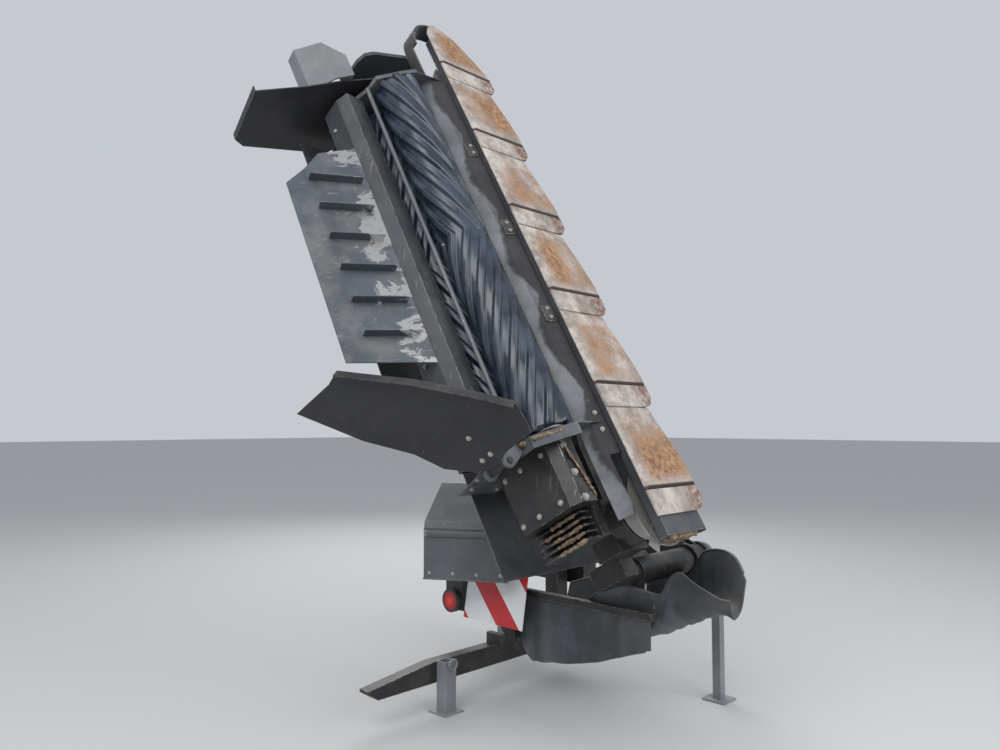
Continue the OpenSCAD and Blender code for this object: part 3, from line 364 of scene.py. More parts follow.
board = {"left": -0.330, "low": 0.335, "width": 0.380, "height": 0.375, "y": 0.160, "lean": math.radians(10),
         "bandStart": 0.57, "bandPitch": 0.86, "bandMiddle": 0.225, "white": (0.74, 0.75, 0.76),
         "red": (0.50, 0.012, 0.016), "stain": (0.30, 0.29, 0.28), "back": (0.05, 0.05, 0.053), "rough": 0.38,
         "bump": (0.04, 0.001)}


def makeBoard(board):
    # White reflective board with red bands that run down to the right, dark at its back: the bands repeat
    # along the sum of the shares of its width and height
    material, shader, place = startMaterial("boardBands", Specular_IOR_Level=0.5, Coat_Weight=0.25)
    at = splitAxes(place)
    up = at["Z"] - board["low"]
    t = (at["X"] - board["left"]) / board["width"] + up / board["height"]
    t = doMath("FRACT", (t - board["bandStart"]) / board["bandPitch"])
    red = rampMask(abs(t - board["bandMiddle"]), 0.2245, 0.2205)
    colour = mixColour(red, board["white"], board["red"])
    stain = rampMask(noiseValue(place, 13.0, 7.0, 0.65), 0.56, 0.72)
    colour = mixColour(stain * 0.55, colour, board["stain"])
    depth = (at["Y"] - board["y"]) * math.cos(board["lean"]) - up * math.sin(board["lean"])
    colour = mixColour(rampMask(depth, 0.0015, 0.0025), colour, board["back"])
    setSurface(shader, colour, board["rough"], noiseValue(place, 260.0, 2.0, 0.5), board["bump"])
    return material


lamp = {"x": -0.405, "z": 0.402, "rim": 0.044, "lens": 0.041, "glow": 0.034, "face": 0.1445, "back": 0.146,
        "red": ((0.80, 0.05, 0.045), (0.40, 0.008, 0.012)), "dark": (0.028, 0.028, 0.030), "rings": 1400.0,
        "rough": (0.55, 0.14), "bump": (0.15, 0.0006)}


def makeLamp(lamp):
    # Red lens with fine rings, with a painted glow that makes it brighter at its middle, within its dark rim
    # on a dark bracket
    material, shader, place = startMaterial("lampLens", Specular_IOR_Level=0.55)
    at = splitAxes(place)
    dx, dz = at["X"] - lamp["x"], at["Z"] - lamp["z"]
    r = doMath("SQRT", dx * dx + dz * dz)
    lens = rampMask(r, lamp["rim"], lamp["lens"]) * rampMask(at["Y"], lamp["back"], lamp["face"])
    # Painted glow: the lens's red is brighter towards its middle
    glow = mixColour(rampMask(r, 0.0, lamp["glow"]), *lamp["red"])
    colour = mixColour(lens, lamp["dark"], glow)
    rings = doMath("SINE", r * lamp["rings"])
    setSurface(shader, colour, mixValue(lens, *lamp["rough"]), rings, lamp["bump"])
    return material


canvasLook = {"cloth": ((0.040, 0.045, 0.052), (0.085, 0.094, 0.106)), "scuff": (0.20, 0.21, 0.225),
              "rough": 0.50, "dust": 0.20, "threads": (1500.0, 1700.0), "bump": (0.35, 0.003)}


def makeCanvas(look):
    # Rubberised fabric: a fine weave, cloudy wear along its folds and pale dust
    material, shader, place = startMaterial("canvasRubber", Specular_IOR_Level=0.45, Sheen_Weight=0.08)
    tone = noiseValue(place, 5.0, 6.0, 0.62)
    colour = mixColour(rampMask(tone, 0.3, 0.7), *look["cloth"])
    colour = addScratches(place, colour, (24.0, 24.0, 70.0), 0.45, look["scuff"])
    colour, rough, _ = addDust(place, colour, look["rough"], look["dust"], 6.0)
    at = splitAxes(place)
    weft, warp = look["threads"]
    weave = doMath("SINE", (at["X"] + at["Y"]) * weft) * doMath("SINE", at["Z"] * warp)
    height = weave * 0.08 + noiseValue(place, 24.0, 5.0, 0.6, 0.8)
    setSurface(shader, colour, rough, height, look["bump"])
    return material


# The roller rubber's dark tones, tinted blue as a painted reflection of the sky
skyTintedRubberLook = {"rubber": ((0.012, 0.018, 0.028), (0.034, 0.048, 0.070)), "scuff": (0.12, 0.14, 0.17),
              "rough": (0.24, 0.42), "bump": (0.06, 0.0008)}


def makeSkyTintedRubber(look):
    # Smooth blue-black rubber with a soft gloss, matt in cloudy patches: the blue in its colour is a painted
    # reflection of the sky
    material, shader, place = startMaterial("rollerRubberSkyTinted", Specular_IOR_Level=0.55)
    tone = noiseValue(place, 7.0, 5.0, 0.6)
    colour = mixColour(rampMask(tone, 0.3, 0.7), *look["rubber"])
    colour = addScratches(place, colour, (30.0, 30.0, 30.0), 0.25, look["scuff"])
    rough = mixValue(rampMask(tone, 0.4, 0.62), *look["rough"])
    setSurface(shader, colour, rough, noiseValue(place, 160.0, 3.0, 0.5), look["bump"])
    return material


mudLook = {"mud": ((0.105, 0.072, 0.046), (0.31, 0.235, 0.160)), "straw": (0.42, 0.36, 0.27), "rough": 0.95,
           "bump": (0.9, 0.004)}


def makeMudFinish(look):
    # Dried beige-brown mud and crop: clods of two tones with a rough, broken surface
    material, shader, place = startMaterial("mudDried", Specular_IOR_Level=0.2)
    broad = noiseValue(place, 30.0, 6.0, 0.68)
    fine = noiseValue(place, 170.0, 4.0, 0.6)
    colour = mixColour(rampMask(broad, 0.35, 0.65), *look["mud"])
    colour = mixColour(rampMask(fine, 0.58, 0.66), colour, look["straw"])
    setSurface(shader, colour, look["rough"], fine + broad * 2.0, look["bump"])
    return material


# Each painted finish: its material's name, its colour, and what differs from the usual paint
paints = {
    "frame": ("framePaint", (0.018, 0.019, 0.021), {"wear": 0.20, "dusty": 0.16, "scratch": 0.18}),
    "grey": ("greyPaint", (0.105, 0.115, 0.128), {"rough": 0.40, "wear": 0.40, "dusty": 0.16}),
    "hood": ("hoodPaint", (0.050, 0.055, 0.063), {"rough": 0.40, "dusty": 0.10}),
    "shade": ("boardPaint", (0.020, 0.021, 0.024),
              {"bare": (0.20, 0.20, 0.20), "rough": 0.46, "wear": 0.25, "dusty": 0.07}),
    "leg": ("legPaint", (0.23, 0.25, 0.275), {"rough": 0.45, "wear": 0.5, "dusty": 0.30}),
    "steel": ("bareSteel", (0.30, 0.29, 0.28), {"rough": 0.35, "wear": 0.6, "dusty": 0.25}),
    "bolt": ("boltSteel", (0.34, 0.34, 0.34),
             {"bare": (0.55, 0.54, 0.52), "rough": 0.35, "wear": 0.6, "dusty": 0.3}),
    "chrome": ("rodChrome", (0.6, 0.6, 0.62), {"rough": 0.15, "wear": 0.1, "dusty": 0.1}),
    "moulded": ("mouldedGrey", (0.150, 0.162, 0.176), {"rough": 0.5, "wear": 0.0, "dusty": 0.2}),
}
materials = {finish: paintedMetal(name, paint, **differs)
             for finish, (name, paint, differs) in paints.items()}
materials.update(canvas=makeCanvas(canvasLook), rubber=makeSkyTintedRubber(skyTintedRubberLook), board=makeBoard(board),
                 lamp=makeLamp(lamp), sole=makeSole(soleLook), spread=makeSpread(spreadLook),
                 muddy=makeMuddySteel(muddyLook), mud=makeMudFinish(mudLook))

nodeFinish = {
    "hood": ["top_hood", "cutter_bar", "hood_channel", "end_panel"],
    "shade": ["swath_board_inner", "swath_board_outer"],
    "spread": ["hood_plate"],
    "muddy": ["crop_plate", "side_plate_inner", "side_plate_outer"],
    "leg": ["leg_rear", "leg_right", "leg_left"],
    "steel": ["guard_frame"] + [f"disc_{i}" for i in range(1, 7)],
    "grey": ["gearbox_input", "pivot_gearbox", "drive_cover", "scraper_rod"],
    "chrome": ["cylinder_rod"],
    "canvas": ["stand_curtain", "guard_canvas", "front_canvas"],
    "rubber": ["roller_lower", "roller_upper"],
    "board": ["warning_board"],
    "lamp": ["tail_lamp"],
    "sole": ["skid_shoes"],
    "moulded": ["outer_guard"],
}


def finishNodes():
    chosen = {node: finish for finish, nodes in nodeFinish.items() for node in nodes}
    for node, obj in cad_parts.items():
        obj.data.materials.clear()
        obj.data.materials.append(materials[chosen.get(node, "frame")])


finishNodes()
print("materials: set on the frame's nodes")


# Shape helpers

def linkPiece(name, mesh, body, finish):
    mesh.update()
    mesh.materials.append(materials[finish])
    obj = bpy.data.objects.new(name, mesh)
    bpy.context.scene.collection.objects.link(obj)
    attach(obj, body)
    return obj


def pointOutwards(mesh):
    # Doubles merged and every face turned to look out of its solid
    work = bmesh.new()
    work.from_mesh(mesh)
    bmesh.ops.remove_doubles(work, verts=work.verts, dist=1e-6)
    bmesh.ops.recalc_face_normals(work, faces=work.faces)
    work.to_mesh(mesh)
    work.free()


def gridPiece(name, points, body, finish, kind="round", smooth=True):
    # A surface on a grid of points, each cell a face. A flat one is open, a round one closes along its rows
    # and has both ends shut, and a ring closes both ways
    rows, columns = points.shape[:2]
    r = np.arange(rows if kind == "ring" else rows - 1)
    c = np.arange(columns - 1 if kind == "flat" else columns)
    r0, c0 = (a.ravel() for a in np.meshgrid(r, c, indexing="ij"))
    r1, c1 = (r0 + 1) % rows, (c0 + 1) % columns
    corners = [r0 * columns + c0, r1 * columns + c0, r1 * columns + c1, r0 * columns + c1]
    faces = np.stack(corners, -1).tolist()
    if kind == "round":
        faces += [list(range(columns)), list(range((rows - 1) * columns, rows * columns))[::-1]]
    mesh = bpy.data.meshes.new(name)
    mesh.from_pydata(points.reshape(-1, 3), [], faces)
    pointOutwards(mesh)
    mesh.polygons.foreach_set("use_smooth", np.full(len(mesh.polygons), smooth))
    return linkPiece(name, mesh, body, finish)


def sharpen(obj, degrees):
    # Smooth faces with hard edges kept where the surface turns by more than the angle
    mesh = obj.data
    mesh.polygons.foreach_set("use_smooth", np.full(len(mesh.polygons), True))
    work = bmesh.new()
    work.from_mesh(mesh)
    for edge in work.edges:
        edge.smooth = len(edge.link_faces) == 2 and edge.calc_face_angle(0) < math.radians(degrees)
    work.to_mesh(mesh)
    work.free()


def thicken(obj, thickness, offset=0.0):
    solid = obj.modifiers.new("thickness", "SOLIDIFY")
    solid.thickness = thickness
    solid.offset = offset


def roundEdges(obj, width):
    bevel = obj.modifiers.new("rounding", "BEVEL")
    bevel.width = width
    bevel.segments = 2
    bevel.limit_method = "ANGLE"
    bevel.angle_limit = math.radians(30)
    bevel.harden_normals = False


def smoothCurve(points, count):
    # Catmull-Rom curve through the points, sampled at evenly spaced parameters
    points = np.asarray(points, float)
    points = np.concatenate([2 * points[:1] - points[1:2], points, 2 * points[-1:] - points[-2:-1]])
    spans = len(points) - 3
    t = np.linspace(0, spans, count)
    i = np.minimum(t.astype(int), spans - 1)
    f = (t - i)[:, None]
    p0, p1, p2, p3 = (points[i + k] for k in range(4))
    return 0.5 * (2 * p1 + (p2 - p0) * f + (2 * p0 - 5 * p1 + 4 * p2 - p3) * f ** 2
                  + (3 * p1 - p0 - 3 * p2 + p3) * f ** 3)


def alongPath(path, profile, up=(0, 0, 1), closed=False):
    # A closed profile carried along a path: at each point it stands across the path, with its second
    # coordinate towards up. profile is (points, 2) or one such list for each point of the path
    path = np.asarray(path, float)
    tangent = np.roll(path, -1, 0) - np.roll(path, 1, 0) if closed else np.gradient(path, axis=0)
    tangent /= np.linalg.norm(tangent, axis=1, keepdims=True)
    side = np.cross(tangent, np.broadcast_to(np.asarray(up, float), path.shape))
    side /= np.maximum(np.linalg.norm(side, axis=1, keepdims=True), 1e-9)
    rise = np.cross(side, tangent)
    profile = np.broadcast_to(np.asarray(profile, float), (len(path),) + np.asarray(profile).shape[-2:])
    return path[:, None] + profile[..., :1] * side[:, None] + profile[..., 1:] * rise[:, None]


def circleProfile(radius, sides):
    # Evenly spaced points on a circle
    a = np.linspace(0, 2 * math.pi, sides, endpoint=False)
    return np.stack([np.cos(a), np.sin(a)], -1) * radius


def tubePiece(name, path, radius, body, sides=12, up=(0, 0, 1), closed=False):
    # A round steel bar along a path
    points = alongPath(path, circleProfile(radius, sides), up, closed)
    return gridPiece(name, points, body, "bolt", "ring" if closed else "round")


def outlinePiece(name, outline, place, thickness, body):
    # A flat outline given thickness and small rounded edges: place turns (a, b, depth) into the frame
    outline = np.asarray(outline, float)
    count = len(outline)
    low = place(outline[:, 0], outline[:, 1], np.zeros(count))
    high = place(outline[:, 0], outline[:, 1], np.full(count, thickness))
    mesh = bpy.data.meshes.new(name)
    k = np.arange(count)
    walls = np.stack([k, (k + 1) % count, (k + 1) % count + count, k + count], -1).tolist()
    mesh.from_pydata(np.concatenate([low, high]), [], [k[::-1].tolist(), (k + count).tolist()] + walls)
    pointOutwards(mesh)
    roundEdges(linkPiece(name, mesh, body, "frame"), 0.001)


# The rings of a bolt's head, in parts of its size: radius, height and number of sides
boltHead = {"around": 24, "rings": [(1.05, 0.0, 24), (1.05, 0.16, 24), (0.88, 0.16, 6), (0.88, 0.72, 6),
                                    (0.74, 0.84, 6)]}


def hexBolts(name, places, axes, size, body):
    # Bolt heads: a round washer and a six-sided head with a chamfered top, one for each place, standing along
    # its axis. A flat side reaches the radius times cos 30 over the cosine of the angle from its middle
    places, axes = np.atleast_2d(np.asarray(places, float)), np.asarray(axes, float)
    axes = np.broadcast_to(axes, places.shape)
    axes = axes / np.linalg.norm(axes, axis=1, keepdims=True)
    around = boltHead["around"]
    a = np.arange(around) * (2 * math.pi / around)
    middle = np.cos((a % (math.pi / 3)) - math.pi / 6)
    base = []
    for radius, height, sides in boltHead["rings"]:
        reach = radius if sides == around else radius * math.cos(math.pi / 6) / middle
        base.append(np.stack([np.cos(a) * reach, np.sin(a) * reach, np.full(around, height)], -1))
    base = np.array(base) * size
    levels = len(base)
    helper = np.where(np.abs(axes[:, 2:]) > 0.9, [[1.0, 0, 0]], [[0, 0, 1.0]])
    side = np.cross(helper, axes)
    side /= np.linalg.norm(side, axis=1, keepdims=True)
    other = np.cross(axes, side)
    spun = (base[None, ..., :1] * side[:, None, None] + base[None, ..., 1:2] * other[:, None, None]
            + base[None, ..., 2:] * axes[:, None, None] + places[:, None, None])
    r0, c0 = (a.ravel() for a in np.meshgrid(np.arange(levels - 1), np.arange(around), indexing="ij"))
    c1 = (c0 + 1) % around
    low, high = r0 * around, (r0 + 1) * around
    one = np.stack([low + c0, low + c1, high + c1, high + c0], -1).tolist()
    one += [list(range(around))[::-1], list(range((levels - 1) * around, levels * around))]
    faces = [[i + k * levels * around for i in face] for k in range(len(places)) for face in one]
    mesh = bpy.data.meshes.new(name)
    mesh.from_pydata(spun.reshape(-1, 3), [], faces)
    linkPiece(name, mesh, body, "bolt")


def crustPiece(name, path, width, height, seed, lumps=26):
    # Dried mud along a path: a low ridge whose width and height swell and break with smoothed noise, and
    # shrink towards both ends
    rng = np.random.default_rng(seed)
    path = smoothCurve(path, lumps * 5)
    count, sides = len(path), 12
    a = np.linspace(0, 2 * math.pi, sides, endpoint=False)
    rough = rng.normal(0, 1, (count, sides))
    for _ in range(2):
        rough = (np.roll(rough, 1, 0) + 2 * rough + np.roll(rough, -1, 0)) / 4
        rough = (np.roll(rough, 1, 1) + 2 * rough + np.roll(rough, -1, 1)) / 4
    swell = np.interp(np.arange(count), np.linspace(0, count, lumps), rng.uniform(0.45, 1.15, lumps))
    ends = np.minimum(1, np.minimum(np.arange(count), np.arange(count)[::-1]) / 4 + 0.15)
    scale = (swell * ends)[:, None] * (1 + 0.55 * rough)
    profile = np.stack([np.cos(a) * width * scale, np.sin(a) * height * scale], -1)
    gridPiece(name, alongPath(path, profile), "mower", "mud")


def hungPoints(x, y, z):
    # The frame of the canvas at the inner end: across, forward and up from the fold hinge
    x, y, z = np.asarray(x, float), np.asarray(y, float), np.asarray(z, float)
    return np.stack(np.broadcast_arrays(x + fold["pivotX"], y + fold["barY"], z + fold["pivotZ"]), -1)


def sheetPiece(name, points, body, thickness, node):
    # A sheet of cloth on a grid of points, given a thickness, with the frame's node that it stands for hidden
    obj = gridPiece(name, points, body, "canvas", "flat")
    thicken(obj, thickness)
    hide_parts(node)


# Rollers

rollerShape = {
    "low": 0.307, "high": 2.047, "radius": 0.100, "core": 0.084, "ribs": 8, "twist": math.radians(235.0),
    "ribWidth": 0.60, "ribSlope": 0.16, "ripple": 0.0012, "rippleRate": 47, "endLength": 0.006,
    "endDrop": 0.004, "around": 240, "along": 130,
    "places": {"roller_lower": (-0.190, 0.155, 1), "roller_upper": (-0.170, 0.36204, -1)},
}


def makeRoller(node, spec):
    # A round core with eight ribs that run to a V at mid length: the radius follows a rounded step of the
    # angle less the twist, which grows from the middle to both ends
    v, w, way = spec["places"][node]
    low, high = spec["low"], spec["high"]
    middle, half = (low + high) / 2, (high - low) / 2
    count = spec["along"]
    u = np.concatenate([np.linspace(low, middle, count), np.linspace(middle, high, count)[1:]])
    angle = np.linspace(0, 2 * math.pi, spec["around"], endpoint=False)
    t = np.abs(u - middle) / half
    phase = ((angle[None] + way * spec["twist"] * t[:, None]) * spec["ribs"] / (2 * math.pi)) % 1
    slope = spec["ribSlope"]
    rise = np.clip(phase / slope, 0, 1) * np.clip((spec["ribWidth"] - phase) / slope, 0, 1)
    rise = rise * rise * (3 - 2 * rise)
    ripple = spec["ripple"] * np.sin(u * spec["rippleRate"])[:, None] * rise
    r = spec["core"] + (spec["radius"] - spec["core"]) * rise + ripple
    ends = np.minimum(np.minimum(u - low, high - u) / spec["endLength"], 1)[:, None]
    r = r - spec["endDrop"] * (1 - ends)
    points = mowerPoints(np.broadcast_to(u[:, None], r.shape), v + r * np.sin(angle), w - r * np.cos(angle))
    name = "".join(part.capitalize() if i else part for i, part in enumerate(node.split("_")))
    obj = gridPiece(name, points, node, "rubber")
    sharpen(obj, 50)
    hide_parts(node)


journalShape = {
    "tips": {"In": (-1, rollerShape["low"], 0.232), "Out": (1, rollerShape["high"], 2.110)},
    "disc": [(0.0005, 0.066), (0.0045, 0.064), (0.0045, 0.030), (0.009, 0.028), (0.009, 0.020)],
    "radius": 0.020, "chamfer": 0.002, "around": 40,
}


def makeJournals(spec):
    # The rollers' end discs and journals, turned as profiles of (along, radius)
    radius, chamfer = spec["radius"], spec["chamfer"]
    a = np.linspace(0, 2 * math.pi, spec["around"], endpoint=False)
    for node, (v, w, _) in rollerShape["places"].items():
        for label, (side, end, tip) in spec["tips"].items():
            rows = [(end + side * step, reach) for step, reach in spec["disc"]]
            rows = np.array(rows + [(tip - side * chamfer, radius), (tip, radius - chamfer), (tip, 0.001)])
            u = np.broadcast_to(rows[:, :1], (len(rows), len(a)))
            points = mowerPoints(u, v + rows[:, 1:] * np.sin(a), w - rows[:, 1:] * np.cos(a))
            obj = gridPiece(f"{node}Journal{label}", points, node, "bolt")
            sharpen(obj, 30)


for rollerNode in rollerShape["places"]:
    makeRoller(rollerNode, rollerShape)
makeJournals(journalShape)
print("rollers: made")


# Canvas at the inner end

scoop = {
    # Stations: across, hoop's height, lowest fold's height, front edge, its height, drape's edge, its height
    "rows": [
        (-0.456, -0.210, -0.250, 0.570, -0.130, 0.446, -0.198),
        (-0.335, -0.218, -0.262, 0.670, -0.090, 0.440, -0.190),
        (-0.225, -0.220, -0.275, 0.720, -0.070, 0.432, -0.140),
        (-0.130, -0.204, -0.290, 0.750, -0.065, 0.395, -0.070),
        (-0.043, -0.182, -0.300, 0.760, -0.065, 0.388, -0.060),
        (0.055, -0.146, -0.265, 0.760, -0.060, 0.388, -0.060),
        (0.121, -0.105, -0.233, 0.750, 0.040, 0.432, -0.075),
        (0.185, -0.001, -0.200, 0.720, 0.075, 0.440, 0.014),
        (0.281, -0.035, -0.160, 0.670, 0.085, 0.446, -0.022),
        (0.361, -0.070, -0.120, 0.610, 0.065, 0.446, -0.058),
        (0.416, -0.070, -0.130, 0.575, 0.000, 0.446, -0.058),
    ],
    "hoop": 0.450, "across": 150, "around": 84, "thickness": 0.004,
    "shoulder": 0.010, "sag": 0.030, "lip": 0.040,
    "foldDepth": 0.0042, "creaseDepth": 0.0030, "drapeDepth": 0.0035, "foldStart": 0.22, "drapeEnd": 0.20,
}


def scoopSection(row, spec):
    # One station's line: the drape's edge, the hoop, two thirds of the way down, the lowest fold, a quarter
    # of the way up to the front edge, and the front edge
    x, near, low, edge, edgeHigh, drape, drapeHigh = row
    hoop = spec["hoop"]
    return [(x, drape, drapeHigh), (x, hoop, near), (x, hoop + spec["shoulder"], (near + 2 * low) / 3),
            (x, (hoop + edge) / 2 - spec["sag"], low), (x, edge - spec["lip"], (3 * low + edgeHigh) / 4),
            (x, edge, edgeHigh)]


def makeScoop(spec):
    # Sections of the sling joined by smooth curves both ways, moved along their normals by soft folds: sines
    # across the cloth whose phase itself swings, at full depth midway between the hoop and the front edge
    sections = np.array([scoopSection(row, spec) for row in spec["rows"]])
    around = np.stack([smoothCurve(section, spec["around"]) for section in sections])
    grid = np.stack([smoothCurve(around[:, k], spec["across"]) for k in range(spec["around"])], axis=1)
    s = np.linspace(0, 1, spec["across"])[:, None]
    t = np.linspace(0, 1, spec["around"])[None]
    normal = np.cross(np.gradient(grid, axis=1), np.gradient(grid, axis=0))
    normal /= np.maximum(np.linalg.norm(normal, axis=-1, keepdims=True), 1e-9)
    hang = np.sin(math.pi * np.clip((t - spec["foldStart"]) / (1 - spec["foldStart"]), 0, 1))
    folds = spec["foldDepth"] * np.sin(s * 41 + 2.6 * np.sin(s * 9 + 1) + 1.5 * t) * hang
    folds = folds + spec["creaseDepth"] * np.sin(s * 88 + 6 * t + 2 * np.sin(s * 17)) * hang * t
    drape = np.clip((spec["drapeEnd"] - t) / spec["drapeEnd"], 0, 1)
    drape = spec["drapeDepth"] * np.sin(s * 63 + 3 * np.sin(s * 11)) * drape
    grid = grid + normal * (folds + drape)[..., None]
    points = hungPoints(grid[..., 0], grid[..., 1], grid[..., 2])
    sheetPiece("scoopCanvas", points, "mower", spec["thickness"], "guard_canvas")
    return points


def makeHems(points):
    # Rolled and stitched hem along the two free edges of the sling
    for name, edge in (("hemFront", points[:, -1]), ("hemDrape", points[:, 0])):
        profile = circleProfile(0.0062, 10) * (1, 0.72)
        gridPiece(name, alongPath(smoothCurve(edge[::6], 220), profile), "mower", "canvas")


hoopShape = {"y": 0.462, "lift": 0.001, "radius": 0.0055, "struts": (-0.029, 0.029), "strutTop": -0.050,
             "strutRadius": 0.005, "clips": (-0.300, -0.205, -0.125, 0.080), "clipRadius": 0.0095,
             "strap": [(-0.009, -0.0012), (0.009, -0.0012), (0.009, 0.0012), (-0.009, 0.0012)]}


def makeHoop(spec):
    # Round bar bent along the stations, its two struts up to the hinge's sleeve, and clips that hold the
    # canvas: flat straps round three quarters of a circle about the bar
    rows = np.array([(row[0], row[1]) for row in scoop["rows"][1:7]])
    path = smoothCurve(np.stack([rows[:, 0], np.full(6, spec["y"]), rows[:, 1] + spec["lift"]], -1), 60)
    hoop = tubePiece("scoopHoop", hungPoints(*path.T), spec["radius"], "mower")
    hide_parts("guard_frame")
    for i, x in enumerate(spec["struts"]):
        foot = np.interp(x, rows[:, 0], rows[:, 1])
        ends = hungPoints([x, x], spec["y"], [foot, spec["strutTop"]])
        tubePiece(f"scoopStrut{i + 1}", ends, spec["strutRadius"], "mower", up=(1, 0, 0))
    a = np.linspace(0.25 * math.pi, 1.75 * math.pi, 14)
    for i, x in enumerate(spec["clips"]):
        z = np.interp(x, rows[:, 0], rows[:, 1])
        ring = hungPoints(x, spec["y"] - spec["clipRadius"] * np.cos(a + math.pi),
                          z + spec["clipRadius"] * np.sin(a))
        strap = alongPath(ring, spec["strap"], up=(1, 0, 0))
        gridPiece(f"scoopClip{i + 1}", strap, "mower", "bolt", smooth=False)


makeHoop(hoopShape)
makeHems(makeScoop(scoop))
print("canvas: sling made")


# Curtains

curtain = {
    "low": [(-0.250, 0.498), (-0.230, 0.330), (-0.160, 0.262), (-0.030, 0.262), (-0.020, 0.178),
            (0.040, 0.180), (0.180, 0.200), (0.360, 0.240), (0.520, 0.300), (0.660, 0.350)],
    "left": -0.232, "right": 0.648, "top": 0.496, "y": 0.2733, "thickness": 0.0035, "across": 150, "down": 46,
    "hem": 0.0050, "bolts": 9, "waveTop": 0.0015, "waveLow": 0.0065, "ripple": 0.002, "gap": 0.003,
}


def makeStandCurtain(spec):
    # Hung from the stand's bar: sines across it whose depth grows towards its lower edge
    x = np.linspace(spec["left"], spec["right"], spec["across"])
    low = np.interp(x, *np.array(spec["low"]).T) + spec["gap"]
    low = np.convolve(np.pad(low, 4, mode="edge"), np.ones(9) / 9, mode="valid")
    t = np.linspace(0, 1, spec["down"])
    z = spec["top"] + (low - spec["top"])[:, None] * t[None]
    wave = np.sin(x * 46 + 1.7 * np.sin(x * 13))[:, None] * (spec["waveTop"] + spec["waveLow"] * t[None])
    wave = wave + spec["ripple"] * np.sin(x * 120)[:, None] * t[None] ** 2
    points = np.stack(np.broadcast_arrays(x[:, None], spec["y"] + wave, z), -1)
    sheetPiece("standCurtain", points, "headstock", spec["thickness"], "stand_curtain")
    hem = alongPath(smoothCurve(points[::5, -1], 200), circleProfile(spec["hem"], 8))
    gridPiece("standCurtainHem", hem, "headstock", "canvas")
    places = [(place, spec["y"] + 0.002, spec["top"] - 0.014)
              for place in np.linspace(spec["left"] + 0.03, spec["right"] - 0.03, spec["bolts"])]
    hexBolts("standCurtainBolts", places, (0, -1, 0), 0.0075, "headstock")


frontSheet = {"low": -0.046, "high": 2.294, "top": 0.568, "edge": 0.284, "v": 0.5985, "thickness": 0.0035,
              "across": 300, "down": 30, "hem": 0.0045, "boltLine": (0.02, 2.22, 18), "boltHeight": 0.548,
              "wave": 0.0060, "ripple": 0.002, "gap": 0.001, "lean": 0.004}


def makeFrontCurtain(spec):
    # Hung from the hood's front edge: long shallow sines across the bar whose depth grows downwards
    u = np.linspace(spec["low"], spec["high"], spec["across"])
    t = np.linspace(0, 1, spec["down"])
    w = spec["top"] + (spec["edge"] - spec["top"]) * t
    wave = np.sin(u * 21 + 1.5 * np.sin(u * 5))[:, None] * spec["wave"] * t[None]
    wave = wave + spec["ripple"] * np.sin(u * 67)[:, None] * t[None] ** 2
    v = spec["v"] + spec["gap"] + wave + spec["lean"] * t[None]
    points = mowerPoints(np.broadcast_to(u[:, None], wave.shape), v, np.broadcast_to(w[None], wave.shape))
    sheetPiece("frontCurtain", points, "mower", spec["thickness"], "front_canvas")
    hem = alongPath(smoothCurve(points[::6, -1], 320), circleProfile(spec["hem"], 8), up=(0, 1, 0))
    gridPiece("frontCurtainHem", hem, "mower", "canvas")
    places = mowerPoints(np.linspace(*spec["boltLine"]), spec["v"] + 0.0035, spec["boltHeight"])
    hexBolts("frontCurtainBolts", places, (0, 1, 0), 0.0085, "mower")


makeStandCurtain(curtain)
makeFrontCurtain(frontSheet)
print("curtains: made")


# Bolts and clamps

uAxis = mowerPoints(1, 0, 0) - mowerPoints(0, 0, 0)
wAxis = mowerPoints(0, 0, 1) - mowerPoints(0, 0, 0)
discLine = [i * discPitch - 0.015 for i in range(6)]
seat = {"v": 0.180, "radius": 0.052, "turn": 0.3}
seatRing = [(u + seat["radius"] * math.cos(a), seat["v"] + seat["radius"] * math.sin(a)) for u in discLine
            for a in np.arange(6) * math.pi / 3 + seat["turn"]]
plateSpots = ([-0.29, -0.25, -0.10, 0.02], [0.46, 0.54, 0.56, 0.56])
flange = {"u": 2.0645, "radius": 0.050, "size": 0.008}


def flangeSpots(node):
    # Four bolts round the outer end of a roller
    v, w, _ = rollerShape["places"][node]
    a = np.arange(4) * math.pi / 2 + math.pi / 4
    r = flange["radius"]
    return flange["u"], v + r * np.sin(a), w - r * np.cos(a), uAxis, flange["size"]


# Each row of bolts on the mower: its places along u, v and w, the axis of its heads and their size
boltRows = {
    "driveBoxBolts": ([0.06] * 3 + [0.24] * 3, -0.232, [0.19, 0.30, 0.385] * 2, (0, -1, 0), 0.010),
    "driveBoxFootBolts": ([0.243, 0.138, 0.045], -0.185, 0.1218, -wAxis, 0.013),
    "seatBolts": (*np.array(seatRing).T, 0.0840, wAxis, 0.0060),
    "barBolts": ([u + 0.215 for u in discLine[:-1]] * 2, [0.06] * 5 + [0.235] * 5, 0.0655, wAxis, 0.0085),
    "plateInBolts": (0.290, *plateSpots, -uAxis, 0.010),
    "plateOutBolts": (2.059, *plateSpots, uAxis, 0.010),
    **{f"{node}FlangeBolts": flangeSpots(node) for node in rollerShape["places"]},
    "hoodBolts": (np.linspace(0.10, 2.16, 9), 0.48, 0.606, wAxis, 0.0095),
    "channelBolts": (np.linspace(0.42, 1.94, 6), -0.409, 0.385, (0, -1, 0), 0.009),
}


def makeBolts(rows):
    # Rows of hexagon bolts where plates, boxes and boards are fastened
    for name, (u, v, w, axis, size) in rows.items():
        hexBolts(name, mowerPoints(u, v, w), axis, size, "mower")


clampShape = {"spots": (0.770, 1.200, 1.630), "low": 0.040, "slope": (0.058 - 0.040) / 0.064,
              "outline": [(-0.034, -0.052), (0.034, -0.052), (0.038, -0.046), (0.038, -0.012),
                          (0.030, -0.004), (-0.030, -0.004), (-0.038, -0.012), (-0.038, -0.046)],
              "thickness": 0.006,
              "bolts": [-0.020, 0.020], "boltLine": -0.028, "boltSize": 0.0085}


